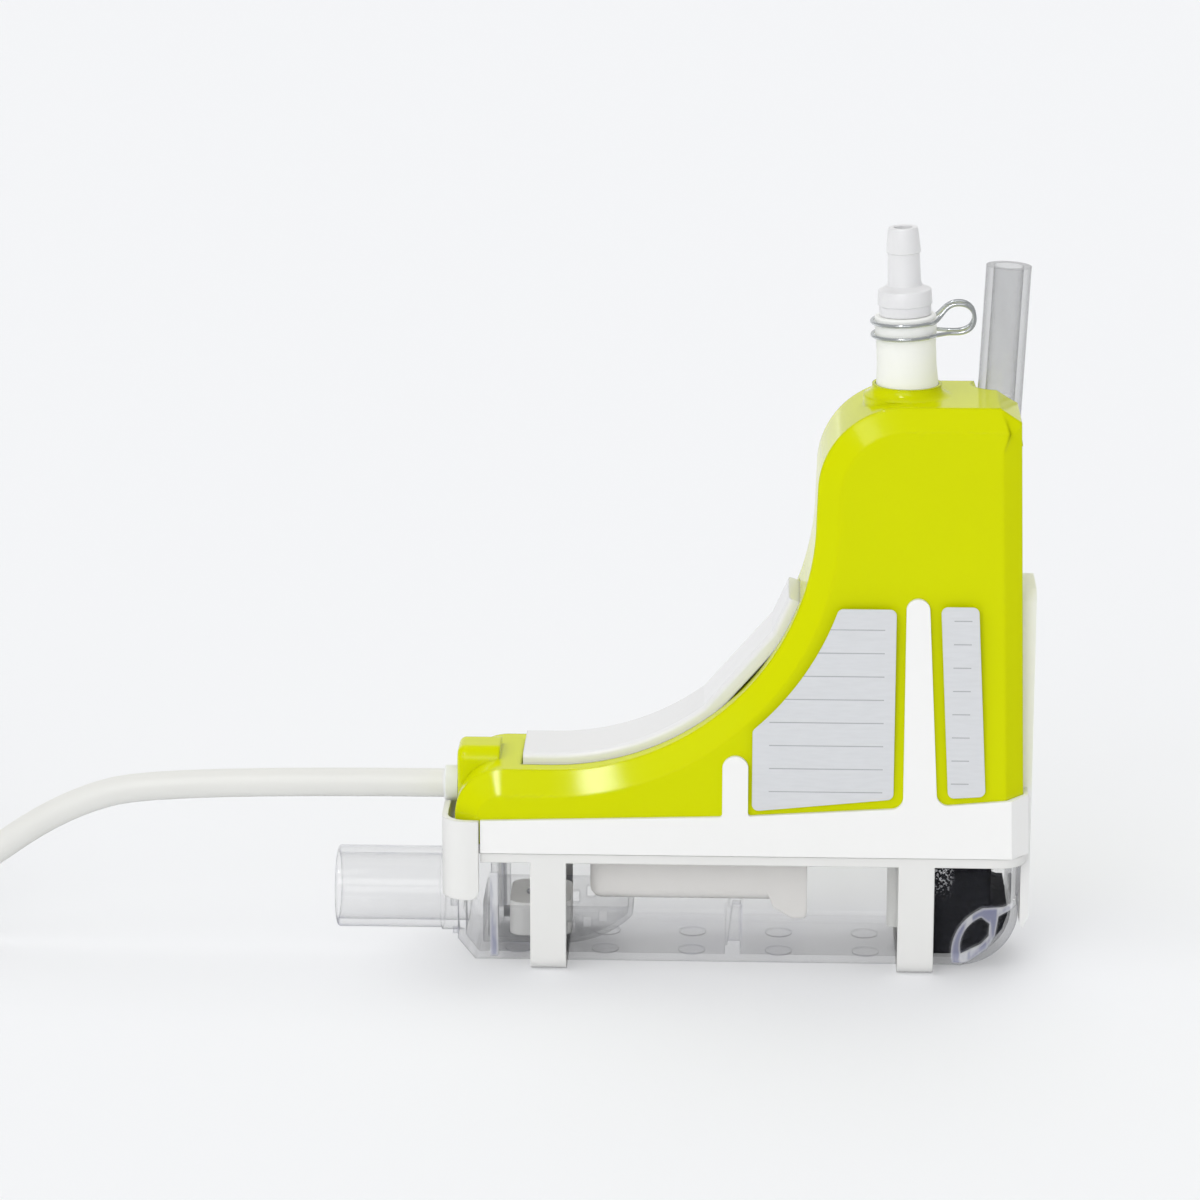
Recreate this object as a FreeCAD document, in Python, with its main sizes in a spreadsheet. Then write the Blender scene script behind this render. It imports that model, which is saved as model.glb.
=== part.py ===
import FreeCAD, Part
import math
import os
import re

import Sketcher

# Mini condensate pump: a lime housing with a solenoid piston pump inside, standing on a clear
# reservoir that hangs in a white cradle. X runs along the pump (inlet pipe at -X, back at +X),
# Y across it, Z up. The origin is under the middle of the box round the pump, on the surface
# that the cradle straps stand on. Millimetres and degrees.

SIZES = {
    # Clearances
    "part_line": 25.0,
    "body_gap": 0.3,
    "fit_gap": 0.1,
    "running_gap": 0.06,
    # Housing shell
    "nose_x": 45.2,
    "nose_radius": 9.5,
    "nose_top": 41.3,
    "sweep_x": 25.7,
    "sweep_radius": 52.0,
    "throat_lean": 0.2,
    "shoulder_radius": 17.0,
    "head_height": 116.0,
    "head_bevel_x": 4.3,
    "head_bevel_z": 5.0,
    "back_x": 68.4,
    "back_lean": 2.4,
    "housing_half": 15.6,
    "side_draft": 0.75,
    "bevel_in": 4.5,
    "bevel_side": 3.5,
    "back_round": 3.5,
    "housing_wall": 1.8,
    # Cable boss on the nose
    "boss_back_x": 36.6,
    "boss_rise": 8.9,
    "boss_half": 5.6,
    "boss_round": 3.0,
    "cable_height": 34.5,
    "cord_diameter": 5.8,
    # Outlet collar on the head
    "outlet_x": 43.9,
    "collar_radius": 6.9,
    "collar_foot_radius": 8.6,
    "collar_rise": 2.2,
    # Breather niche
    "breather_x": 62.4,
    "breather_y": 9.5,
    "breather_lean": 2.6,
    "breather_bore": 6.0,
    "breather_wall": 1.5,
    "breather_top": 140.0,
    "niche_gap": 1.0,
    "niche_depth": 8.0,
    "niche_wall": 1.4,
    "spigot_root_radius": 2.2,
    "vent_spigot_radius": 1.4,
    "vent_hose_wall": 0.5,
    # Snap-in front cover
    "cover_start_x": 31.7,
    "cover_sweep_angle": 70.0,
    "cover_lift_angle": 37.0,
    "cover_tab_angle": 61.0,
    "cover_half": 8.2,
    "cover_proud": 2.2,
    "cover_sunk": 0.8,
    "cover_margin": 0.35,
    "cover_round": 1.1,
    # Chassis
    "flange_thick": 1.5,
    "upstand_rise": 2.0,
    "chassis_wall": 1.5,
    "tub_front_x": 18.3,
    "tub_back_x": 25.4,
    "tub_half": 9.0,
    "tub_bottom": 12.9,
    "tub_round": 2.5,
    "fin_width": 7.2,
    "fin_bottom": 9.6,
    "fin_tip": 3.0,
    "fin_round": 1.0,
    # Isolation skirt
    "skirt_front_x": 39.9,
    "skirt_thick": 1.0,
    "skirt_front_top": 31.8,
    "skirt_back_top": 37.6,
    "skirt_sag_radius": 1290.0,
    "front_finger_x": 10.85,
    "front_finger_width": 5.1,
    "front_finger_top": 46.1,
    "back_finger_x": 46.45,
    "back_finger_width": 4.6,
    "back_finger_top": 78.6,
    "finger_flare": 2.0,
    "finger_root": 2.4,
    "front_finger_root": 0.6,
    "tongue_half": 8.0,
    "tongue_top": 78.2,
    "tongue_bottom": 7.7,
    "tongue_face_x": 70.0,
    "tongue_bevel": 1.2,
    "tongue_round": 3.0,
    # Reservoir
    "tank_front_x": 44.8,
    "tank_back_x": 67.8,
    "tank_half": 14.5,
    "tank_bottom": 1.3,
    "tank_top": 24.35,
    "tank_wall": 1.6,
    "tank_bevel_x": 3.5,
    "tank_bevel_z": 4.3,
    "tank_back_radius": 12.3,
    "tank_edge": 2.6,
    "pipe_height": 12.3,
    "pipe_diameter": 16.6,
    "pipe_wall": 1.5,
    "pipe_end_x": 70.0,
    "pipe_rim": 0.7,
    "pipe_stop_x": 48.6,
    "pipe_stop_rise": 0.4,
    "weir_x": 9.0,
    "weir_width": 3.0,
    "weir_top": 5.0,
    "fin_low_x": 9.4,
    "fin_high_x": 10.5,
    "fin_thick": 1.7,
    "fin_top": 13.7,
    "fin_inner": 10.2,
    "nub_y": 11.5,
    "nub_height": 13.3,
    "nub_radius": 1.0,
    "nub_proud": 1.4,
    "low_nub_height": 7.1,
    "pip_front_x": 32.7,
    "pip_pitch": 17.5,
    "pip_row": 5.4,
    "pip_middle_y": -3.9,
    "pip_radius": 2.7,
    "pip_depth": 0.3,
    "grip_rib_x": 37.3,
    "grip_rib_width": 1.6,
    "grip_rib_bottom": 2.9,
    "grip_rib_top": 20.5,
    "rib_proud": 0.5,
    "gasket_thick": 0.5,
    "foam_front_x": 46.6,
    "foam_gap": 0.3,
    "foam_top": 22.8,
    # Float and its cage
    "float_x": 28.5,
    "float_length": 12.4,
    "float_width": 15.0,
    "float_thick": 7.0,
    "float_bottom": 4.6,
    "float_round": 3.0,
    "magnet_diameter": 6.0,
    "magnet_thick": 2.0,
    "cage_front_x": 40.0,
    "cage_back_x": 9.7,
    "cage_half": 10.0,
    "cage_bottom": 3.2,
    "cage_rim": 11.6,
    "cage_wall": 1.0,
    "cage_bilge_x": 24.0,
    "cage_bilge_radius": 20.0,
    "cage_round": 3.0,
    "cage_slot": 1.6,
    "cage_slot_x": 26.0,
    "cage_pitch": 3.2,
    "cage_slot_count": 4,
    "cage_post_top": 22.5,
    "cage_post": 1.4,
    # Cradle under the reservoir
    "rim_half": 15.9,
    "rim_back_x": 69.2,
    "rim_height": 1.9,
    "rim_corner": 6.0,
    "strap_front_x": 26.4,
    "strap_back_x": 47.1,
    "strap_width": 7.2,
    "strap_corner": 3.0,
    # Front latch
    "latch_front_x": 47.8,
    "latch_back_x": 40.2,
    "latch_wall": 1.2,
    "latch_corner": 5.5,
    "latch_bottom": 15.3,
    "latch_top": 31.8,
    "latch_heel": 2.0,
    "latch_pivot_x": 42.6,
    "latch_pivot_z": 18.9,
    "latch_pin": 2.4,
    "latch_pin_reach": 0.7,
    "pipe_clearance": 1.5,
    "cable_clearance": 1.1,
    # Labels, bare
    "label_thick": 0.25,
    "rating_front_x": 14.2,
    "rating_back_x": 42.2,
    "rating_bottom": 34.4,
    "rating_lift": 2.8,
    "rating_knee_z": 51.2,
    "rating_top": 76.4,
    "rating_top_x": 30.9,
    "label_round": 1.3,
    "serial_front_x": 50.9,
    "serial_width": 7.4,
    "serial_lean": 2.1,
    "serial_bottom": 37.5,
    "serial_top": 77.0,
    # Solenoid pump on the outlet axis
    "deck_mount_thick": 3.0,
    "mount_radius": 7.5,
    "upper_mount_radius": 8.0,
    "upper_mount_top": 112.0,
    "fitting_flange": 1.6,
    "fitting_hub_radius": 5.5,
    "fitting_hub_height": 6.6,
    "spigot_height": 3.0,
    "cylinder_bore": 9.0,
    "cylinder_wall": 1.0,
    "cylinder_length": 60.0,
    "piston_length": 20.0,
    "piston_level": 54.0,
    "flow_bore": 2.4,
    "valve_bore": 5.2,
    "valve_diameter": 4.6,
    "valve_thick": 1.2,
    "valve_seat_depth": 4.6,
    "valve_spring_wire": 0.4,
    "retainer_thick": 1.0,
    "spring_wire": 0.8,
    "spring_radius": 3.6,
    "spring_turns": 5.0,
    "coil_level": 47.0,
    "yoke_height": 40.0,
    "yoke_length": 24.0,
    "yoke_half": 8.0,
    "yoke_thick": 2.0,
    "bobbin_wall": 1.0,
    "bobbin_flange": 1.5,
    "winding_radius": 9.3,
    "head_spigot": 6.0,
    "head_flange": 1.6,
    "head_hub_height": 4.4,
    "port_flange": 2.0,
    "port_height": 10.0,
    "outlet_tube_bore": 8.0,
    "outlet_tube_wall": 2.15,
    "outlet_tube_waist": 0.3,
    "outlet_tube_top": 132.0,
    "outlet_lean": 2.5,
    "suction_tube_bore": 2.4,
    "suction_tube_wall": 1.0,
    "suction_end": 5.5,
    # Outlet adaptor and its clip
    "adaptor_step_radius": 5.4,
    "adaptor_step_height": 1.5,
    "adaptor_cone_height": 2.8,
    "barb_diameter": 6.7,
    "barb_neck_length": 7.0,
    "barb_tip_diameter": 5.6,
    "barb_length": 4.5,
    "adaptor_bore": 3.6,
    "adaptor_root": 11.0,
    "clip_wire": 0.8,
    "clip_low": 128.2,
    "clip_high": 130.9,
    "clip_mouth_angle": 30.0,
    "clip_split_angle": 275.0,
    "clip_cut_angle": 10.0,
    "clip_ear_y": 1.7,
    "clip_ear_end": 57.4,
    "clip_ear_top": 133.9,
    # Electronics
    "board_back_x": 18.0,
    "board_half": 11.6,
    "board_level": 29.0,
    "board_thick": 1.6,
    "post_radius": 1.9,
    "screw_diameter": 2.2,
    "capacitor_x": 8.0,
    "capacitor_diameter": 8.0,
    "capacitor_height": 10.0,
    "relay_length": 15.0,
    "relay_width": 10.0,
    "relay_height": 11.0,
    # Gland and cord
    "gland_mouth_x": 48.0,
    "gland_radius": 3.6,
    "gland_lock_radius": 4.2,
    "gland_lock_x": 38.8,
    "gland_tail_x": 33.0,
    "core_diameter": 1.6,
}

# The cord's route from the gland to the hank, chosen by hand (x, z), all at y = 0
CORD_ROUTE = [(-48.0, 34.5), (-105.0, 34.5), (-125.5, 29.3), (-147.0, 14.0), (-160.0, 6.6),
              (-170.0, 3.9), (-180.0, 3.6)]

# Moulded leaf on the tank's back corners, outer and inner loops: how far from the back and the
# bottom, then the arc to the next point, all as shares of the corner's radius
LEAF_OUTER = [(1.07, 0.06, -0.85), (0.59, 1.05), (0.28, 1.07, 0.4), (0.04, 1.28), (0.01, 1.12),
              (0.34, 0.92, 0.0), (0.39, 0.58), (0.52, 0.35), (0.94, 0.04)]
LEAF_INNER = [(0.94, 0.27, -0.55), (0.62, 0.9), (0.48, 0.79), (0.49, 0.58), (0.62, 0.43)]
PIPS_ALONG = 5

# The put-away hank: flat loops on each other, with a tie round them near their middle
HANK_END_X = -190.0
HANK_RUN = 50.0
HANK_FOLD = 17.4
HANK_LAYERS = 7
HANK_PITCH = 5.85
HANK_LEVEL = 3.6
TAIL_X = -222.0
TAIL_STUB = 3.0
TIE_X = -232.0
TIE_WIDTH = 8.0
TIE_WALL = 0.5
TIE_ROOM = 0.3

# Bare cores at the cord's end: side, rise, then the knee and the tip of each (along, across)
CORE_SPREAD = 1.25
CORE_BENDS = {
    "brown": (1, 1, ((12, 2.9), (28, 3.0))), "blue": (-1, 1, ((12, -2.9), (24, -3.0))),
    "black": (1, -1, ((7, 0.85), (28, 0.9))), "violet": (-1, -1, ((7, -0.85), (24, -0.9))),
}

doc = FreeCAD.newDocument("CondensatePump")
sheet = doc.addObject("Spreadsheet::Sheet", "Sizes")
for row, (alias, size) in enumerate(SIZES.items(), start=1):
    sheet.set(f"A{row}", alias)
    sheet.set(f"B{row}", str(size))
    sheet.setAlias(f"B{row}", alias)
doc.recompute()

nodes = []


def bind(formula):
    """Point every size name in a formula at its spreadsheet cell."""
    return re.sub(r"\b([a-z]+(?:_[a-z]+)+)\b", r"Sizes.\1", str(formula))


def value(formula):
    """Work out a formula's number now."""
    return float(sheet.evalExpression(bind(formula)))


def drive(thing, prop, formula):
    """Tie a property to a formula on the sheet's cells."""
    thing.setExpression(prop, bind(formula))


def keep(thing, name):
    """Name a finished sub-part."""
    thing.Label = name
    nodes.append(thing)
    return thing


def new_body(name):
    body = doc.addObject("PartDesign::Body", name)
    body.Label = name
    return body


def new_sketch(body, plane, level="0"):
    """Sketch on one of the body's own origin planes, moved along that plane's normal by level."""
    sketch = body.newObject("Sketcher::SketchObject", body.Name + "_sketch")
    support = next(f for f in body.Origin.OriginFeatures if f.Role == plane + "_Plane")
    sketch.AttachmentSupport = (support, [""])
    sketch.MapMode = "FlatFace"
    if level != "0":
        drive(sketch, "AttachmentOffset.Base.z", level)
    return sketch


def pin_point(sketch, geometry, end, x, y):
    """Fix a point of the sketch at two formulas."""
    for kind, formula, axis in (("DistanceX", x, -2), ("DistanceY", y, -1)):
        distance = value(formula)
        if abs(distance) < 1e-9:
            sketch.addConstraint(Sketcher.Constraint("PointOnObject", geometry, end, axis))
        else:
            index = sketch.addConstraint(Sketcher.Constraint(kind, -1, 1, geometry, end, distance))
            drive(sketch, f"Constraints[{index}]", formula)


def arc_between(start, end, radius):
    """Short arc from start to end, and which of its ends is the start.

    Its centre lies to the left of the way for a plus radius, to the right for a minus one.
    """
    chord = end - start
    half = chord.Length / 2
    side = FreeCAD.Vector(-chord.y, chord.x, 0).normalize() * math.copysign(1, radius)
    centre = (start + end) / 2 + side * math.sqrt(max(radius * radius - half * half, 0))
    first, last = (start, end) if radius > 0 else (end, start)
    low, high = (math.atan2(p.y - centre.y, p.x - centre.x) for p in (first, last))
    circle = Part.Circle(centre, FreeCAD.Vector(0, 0, 1), abs(radius))
    arc = Part.ArcOfCircle(circle, low, high if high > low else high + 2 * math.pi)
    return arc, 1 if radius > 0 else 2


def draw_loop(sketch, corners):
    """Closed outline through corners (x, y) or (x, y, radius); a radius bends the edge that follows."""
    points = [FreeCAD.Vector(value(c[0]), value(c[1]), 0) for c in corners]
    edges = []
    for index, corner in enumerate(corners):
        start, end = points[index], points[(index + 1) % len(points)]
        if len(corner) == 3:
            arc, begins = arc_between(start, end, value(corner[2]))
            geometry = sketch.addGeometry(arc, False)
            radius = sketch.addConstraint(Sketcher.Constraint("Radius", geometry, abs(value(corner[2]))))
            drive(sketch, f"Constraints[{radius}]", f"abs({corner[2]})")
        else:
            geometry = sketch.addGeometry(Part.LineSegment(start, end), False)
            begins = 1
        edges.append((geometry, begins))
    for index, (geometry, begins) in enumerate(edges):
        before, before_begins = edges[index - 1]
        sketch.addConstraint(
            Sketcher.Constraint("Coincident", before, 3 - before_begins, geometry, begins))
        pin_point(sketch, geometry, begins, corners[index][0], corners[index][1])


def draw_circle(sketch, x, y, radius):
    geometry = sketch.addGeometry(
        Part.Circle(FreeCAD.Vector(value(x), value(y), 0), FreeCAD.Vector(0, 0, 1), value(radius)), False)
    pin_point(sketch, geometry, 3, x, y)
    index = sketch.addConstraint(Sketcher.Constraint("Radius", geometry, value(radius)))
    drive(sketch, f"Constraints[{index}]", radius)


def pad(body, sketch, length, both=False, back=False):
    feature = body.newObject("PartDesign::Pad", body.Name + "_pad")
    feature.Profile = sketch
    feature.SideType = "Symmetric" if both else "One side"
    feature.Reversed = back
    drive(feature, "Length", length)
    doc.recompute()
    return feature


def pocket(body, sketch, length=None, both=False, back=False):
    """Cut a sketch out of the body; without a length it goes right through."""
    before = body.Shape.Volume
    feature = body.newObject("PartDesign::Pocket", body.Name + "_pocket")
    feature.Profile = sketch
    feature.SideType = "Symmetric" if both else "One side"
    feature.Reversed = back
    if length is None:
        feature.Type = "ThroughAll"
    else:
        drive(feature, "Length", length)
    doc.recompute()
    if body.Shape.Volume > before - 1e-6:
        raise RuntimeError(f"{feature.Name} cuts nothing")
    return feature


def turned(name, corners, x="0", y="0", z="0", tilt=None):
    """Solid of revolution: corners are (radius, height) in its own upright frame."""
    body = new_body(name)
    sketch = new_sketch(body, "XZ")
    draw_loop(sketch, corners)
    feature = body.newObject("PartDesign::Revolution", name + "_turn")
    feature.Profile = sketch
    feature.ReferenceAxis = (sketch, ["V_Axis"])
    feature.Angle = 360
    if tilt is not None:
        body.Placement.Rotation = FreeCAD.Rotation(*tilt)
    for axis, formula in zip("xyz", (x, y, z)):
        drive(body, f"Placement.Base.{axis}", formula)
    doc.recompute()
    return body


def tube_corners(inner, outer, low, high):
    """Rectangle between two radii and two heights."""
    return [(inner, low), (outer, low), (outer, high), (inner, high)]


def extruded(name, plane, corners, length, level="0", both=False, back=False):
    """One closed outline, padded."""
    body = new_body(name)
    sketch = new_sketch(body, plane, level)
    draw_loop(sketch, corners)
    pad(body, sketch, length, both, back)
    return body


def box(name, low, high):
    """Block between two corners given as formulas."""
    block = doc.addObject("Part::Box", name)
    for axis, side, start, end in zip("xyz", ("Length", "Width", "Height"), low, high):
        drive(block, f"Placement.Base.{axis}", start)
        drive(block, side, f"({end}) - ({start})")
    return block


def rod(name, radius, length, x, y, z, axis=(0, 0, 1)):
    """Round bar from a point along an axis."""
    bar = doc.addObject("Part::Cylinder", name)
    drive(bar, "Radius", radius)
    drive(bar, "Height", length)
    bar.Placement.Rotation = FreeCAD.Rotation(FreeCAD.Vector(0, 0, 1), FreeCAD.Vector(*axis))
    for letter, formula in zip("xyz", (x, y, z)):
        drive(bar, f"Placement.Base.{letter}", formula)
    return bar


def fuse(name, *parts):
    union = doc.addObject("Part::MultiFuse", name)
    union.Shapes = list(parts)
    return union


def cut(name, base, *tools):
    """Base with every tool taken out of it."""
    result = doc.addObject("Part::Cut", name)
    result.Base = base
    result.Tool = tools[0] if len(tools) == 1 else fuse(name + "_tools", *tools)
    doc.recompute()
    return result


def edge_names(shape, wanted):
    return [f"Edge{index}" for index, edge in enumerate(shape.Edges, start=1) if wanted(edge)]


def dress(body, kind, wanted, **sizes):
    """Fillet or chamfer the edges of the body's tip that pass the test."""
    base = body.Tip
    names = edge_names(base.Shape, wanted)
    if not names:
        raise RuntimeError(f"no edges to dress on {body.Label}")
    feature = body.newObject("PartDesign::" + kind, f"{body.Name}_{kind.lower()}")
    feature.Base = (base, names)
    if "Size2" in sizes:
        feature.ChamferType = "Two distances"
    for prop, formula in sizes.items():
        drive(feature, prop, formula)
    body.Tip = feature
    doc.recompute()
    return feature


def halfway(edge):
    """Point halfway along an edge."""
    return edge.valueAt((edge.FirstParameter + edge.LastParameter) / 2)


def runs_along(edge, axis):
    """True for a straight edge parallel to an axis letter."""
    if edge.Curve.TypeId != "Part::GeomLine":
        return False
    way = edge.Vertexes[-1].Point - edge.Vertexes[0].Point
    return abs(getattr(way, axis)) > 0.999 * way.Length


def lies_at(edge, axis, place, slack=0.01):
    """True if the whole edge lies in the plane axis = place."""
    box_of = edge.BoundBox
    low, high = getattr(box_of, axis.upper() + "Min"), getattr(box_of, axis.upper() + "Max")
    return abs(low - place) < slack and abs(high - place) < slack


# Levels that several pieces share
SEAT = "part_line + body_gap / 2"
DECK = f"{SEAT} + flange_thick"
SWEEP_Z = "nose_top + sweep_radius"
SHOULDER_X = "(sweep_radius - sweep_x + throat_lean + shoulder_radius)"
DEGREE = " * 1 deg"
FULL_TURN = 360
NICHE_FLOOR = "(head_height - niche_depth)"
BOARD_FRONT = "(gland_tail_x - body_gap)"
LATCH_HALF = "(housing_half + body_gap + latch_wall)"
BOSS_TOP = "(cable_height + boss_rise)"
VENT_X = f"(breather_x - ({NICHE_FLOOR} - ({DECK})) * tan(breather_lean{DEGREE}))"


def housing_side(inset, drop, back):
    """Side view of the housing, set in from its outline; drop and back shape the head's back corner."""
    i = f"({inset})"
    return [
        (f"-nose_x + {i}", "part_line"),
        (f"-nose_x + {i}", "nose_top - nose_radius", f"-(nose_radius - {i})"),
        ("-nose_x + nose_radius", f"nose_top - {i}"),
        ("-sweep_x", f"nose_top - {i}", f"sweep_radius + {i}"),
        (f"sweep_radius - sweep_x + {i}", SWEEP_Z),
        (f"{SHOULDER_X} - (shoulder_radius - {i})", "head_height - shoulder_radius",
         f"-(shoulder_radius - {i})"),
        (SHOULDER_X, f"head_height - {i}"),
        (f"back_x - back_lean - {drop}", f"head_height - {i}"),
        (f"back_x - back_lean - {back}", f"head_height - {i} - head_bevel_z + {drop} / 2"),
        (f"back_x - {back}", "part_line"),
    ]


def housing_form(name, grow="0"):
    """The housing's outside, grown or shrunk all round by one distance.

    Four side views are joined across the width: the full outline at both edges of the flat, and a
    smaller one on each leaning side face, so the bevel between them narrows as the sides do.
    """
    g = f"({grow})"
    flat = f"(housing_half - bevel_side + {g} * 0.4)"
    side = f"(housing_half + {g} + part_line * tan(side_draft * 1 deg))"
    body = new_body(name)
    views = []
    for level, lean in ((side, -1), (flat, 0), (f"-{flat}", 0), (f"-{side}", 1)):
        view = new_sketch(body, "XZ", level)
        if lean:
            view.AttachmentOffset.Rotation = FreeCAD.Rotation(FreeCAD.Vector(1, 0, 0), 1)
            drive(view, "AttachmentOffset.Rotation.Angle", f"{lean} * side_draft * 1 deg")
            draw_loop(view, housing_side(f"bevel_in - {g}", "0.5 * head_bevel_x", f"(back_round - {g})"))
        else:
            draw_loop(view, housing_side(f"-{g}", "head_bevel_x", f"-{g}"))
        views.append(view)
    loft = body.newObject("PartDesign::AdditiveLoft", name + "_loft")
    loft.Profile = views[0]
    loft.Sections = views[1:]
    loft.Ruled = True
    doc.recompute()
    return body


def below_foot(name, level):
    """Block that takes away everything under a level."""
    return box(name, ("-2 * nose_x", "-2 * housing_half", "0"), ("2 * back_x", "2 * housing_half", level))


def cover_band(name, margin, proud, sunk, half, lifted=False):
    """Slab that follows the nose flat and the front sweep; the margin widens it at its ends.

    A lifted one bridges the middle of the sweep in a straight line, and its finger tab is straight too.
    """
    outer, inner = f"(sweep_radius - {proud})", f"(sweep_radius + {sunk})"
    turn = f"(cover_sweep_angle + {margin} / sweep_radius * 57.2958)"

    def at(radius, angle):
        """Point of the sweep at a radius and an angle from its foot."""
        return f"-sweep_x + {radius} * sin({angle}{DEGREE})", f"{SWEEP_Z} - {radius} * cos({angle}{DEGREE})"

    corners = [(f"-cover_start_x - {margin}", f"nose_top - {sunk}"),
               ("-sweep_x", f"nose_top - {sunk}", inner)]
    if lifted:
        corners += [at(inner, "cover_lift_angle"), (*at(inner, "cover_tab_angle"), inner)]
    corners.append(at(inner, turn))
    if lifted:
        corners += [at(outer, turn), at(outer, "cover_tab_angle"),
                    (*at(outer, "cover_lift_angle"), f"-{outer}")]
    else:
        corners.append((*at(outer, turn), f"-{outer}"))
    corners += [("-sweep_x", f"nose_top + {proud}"), (f"-cover_start_x - {margin}", f"nose_top + {proud}")]
    return extruded(name, "XZ", corners, f"2 * ({half})", both=True)


def make_housing():
    """Moulded lime shell: open foot, cable boss, outlet collar, breather niche, cover recess."""
    outside = housing_form("housing_outside")
    boss = extruded("housing_boss", "YZ", [
        ("-boss_half", "cable_height - boss_half"),
        ("boss_half", "cable_height - boss_half"),
        ("boss_half", f"{BOSS_TOP} - boss_round", "boss_round"),
        ("boss_half - boss_round", BOSS_TOP),
        ("boss_round - boss_half", BOSS_TOP, "boss_round"),
        ("-boss_half", f"{BOSS_TOP} - boss_round"),
    ], "nose_x - boss_back_x", level="-nose_x")
    dress(boss, "Fillet", lambda e: e.CenterOfMass.x < value("-nose_x") + 0.01
          and e.CenterOfMass.z > value("cable_height - boss_half") + 0.5, Radius="boss_round / 2")
    collar = turned("housing_collar", [
        ("0", "-housing_wall"),
        ("collar_foot_radius", "-housing_wall"),
        ("collar_foot_radius", "0", "-(collar_rise * 1.05)"),
        ("collar_radius", "collar_rise - 0.5"),
        ("collar_radius", "collar_rise"),
        ("0", "collar_rise"),
    ], x="outlet_x", z="head_height")
    tab = extruded("housing_tab", "XZ", [
        ("back_x - back_lean - 1", "head_height - head_bevel_z"),
        ("back_x - back_lean + 0.1", "head_height - head_bevel_z"),
        ("back_x - back_lean + 0.9", "head_height - 2 * head_bevel_z"),
        ("back_x - back_lean - 1", "head_height - 2 * head_bevel_z"),
    ], "bevel_side", both=True)
    solid = fuse("housing_solid", outside, boss, collar, tab)
    inside = housing_form("housing_inside", "-housing_wall")
    niche_radius = "(breather_bore / 2 + breather_wall + niche_gap)"
    niche_boss = rod("niche_boss", f"{niche_radius} + niche_wall", "niche_depth + niche_wall",
                     "breather_x", "breather_y", "head_height - niche_depth - niche_wall")
    room = cut("housing_room", inside, niche_boss)
    foot = below_foot("housing_below", f"{DECK} + fit_gap")
    niche = rod("niche_hole", niche_radius, "niche_depth + collar_rise",
                "breather_x", "breather_y", "head_height - niche_depth")
    niche_drain = rod("niche_spigot_hole", "spigot_root_radius + 1.5 * fit_gap", "2 * niche_depth",
                      "breather_x", "breather_y", "head_height - 2 * niche_depth")
    outlet = rod("outlet_hole", "outlet_tube_bore / 2 + outlet_tube_wall + fit_gap",
                 "2 * housing_wall + collar_rise + shoulder_radius", "outlet_x", "0",
                 "head_height - shoulder_radius")
    cable = rod("cable_hole", "cord_diameter / 2 + 2 * fit_gap", "boss_back_x", "-nose_x - 1", "0",
                "cable_height", (1, 0, 0))
    lock = rod("gland_lock_room", "gland_lock_radius + fit_gap", "gland_lock_x - gland_tail_x + 1",
               "-gland_lock_x - fit_gap", "0", "cable_height", (1, 0, 0))
    recess = cover_band("cover_recess", "cover_margin", "2 * cover_proud", "(cover_sunk + fit_gap)",
                        "cover_half + cover_margin")
    return keep(cut("pump_housing_shell", solid, room, foot, niche, niche_drain, outlet, cable, lock,
                    recess),
                "pump_housing")


def make_cover():
    """White snap-in cover that stands proud of the front sweep."""
    cover = cover_band("front_cover", "0", "cover_proud", "cover_sunk", "cover_half", lifted=True)
    outer_z = value("nose_top + cover_proud")

    def on_face(edge):
        middle = halfway(edge)
        reach = math.hypot(middle.x + value("sweep_x"), middle.z - value(SWEEP_Z))
        flat = middle.x < value("-sweep_x") - 0.1 and abs(middle.z - outer_z) < 0.05
        swept = middle.x > value("-sweep_x") + 0.1 and reach < value("sweep_radius - cover_proud") + 0.05
        return abs(middle.y) > value("cover_half") - 0.01 and (flat or swept)

    dress(cover, "Fillet", on_face, Radius="cover_round")
    return keep(cover, "front_cover")


def plan_outline(inset):
    """Housing footprint with its bevelled corners, as corners in plan."""
    i = f"({inset})"
    front, back, side = f"(nose_x - {i})", f"(back_x - {i})", f"(housing_half - {i})"
    return [
        (f"-{front}", f"-{side} + bevel_side"), (f"-{front} + bevel_in", f"-{side}"),
        (f"{back} - back_round", f"-{side}"), (f"{back}", f"-{side} + bevel_side"),
        (f"{back}", f"{side} - bevel_side"), (f"{back} - back_round", side),
        (f"-{front} + bevel_in", side), (f"-{front}", f"{side} - bevel_side"),
    ]


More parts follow.
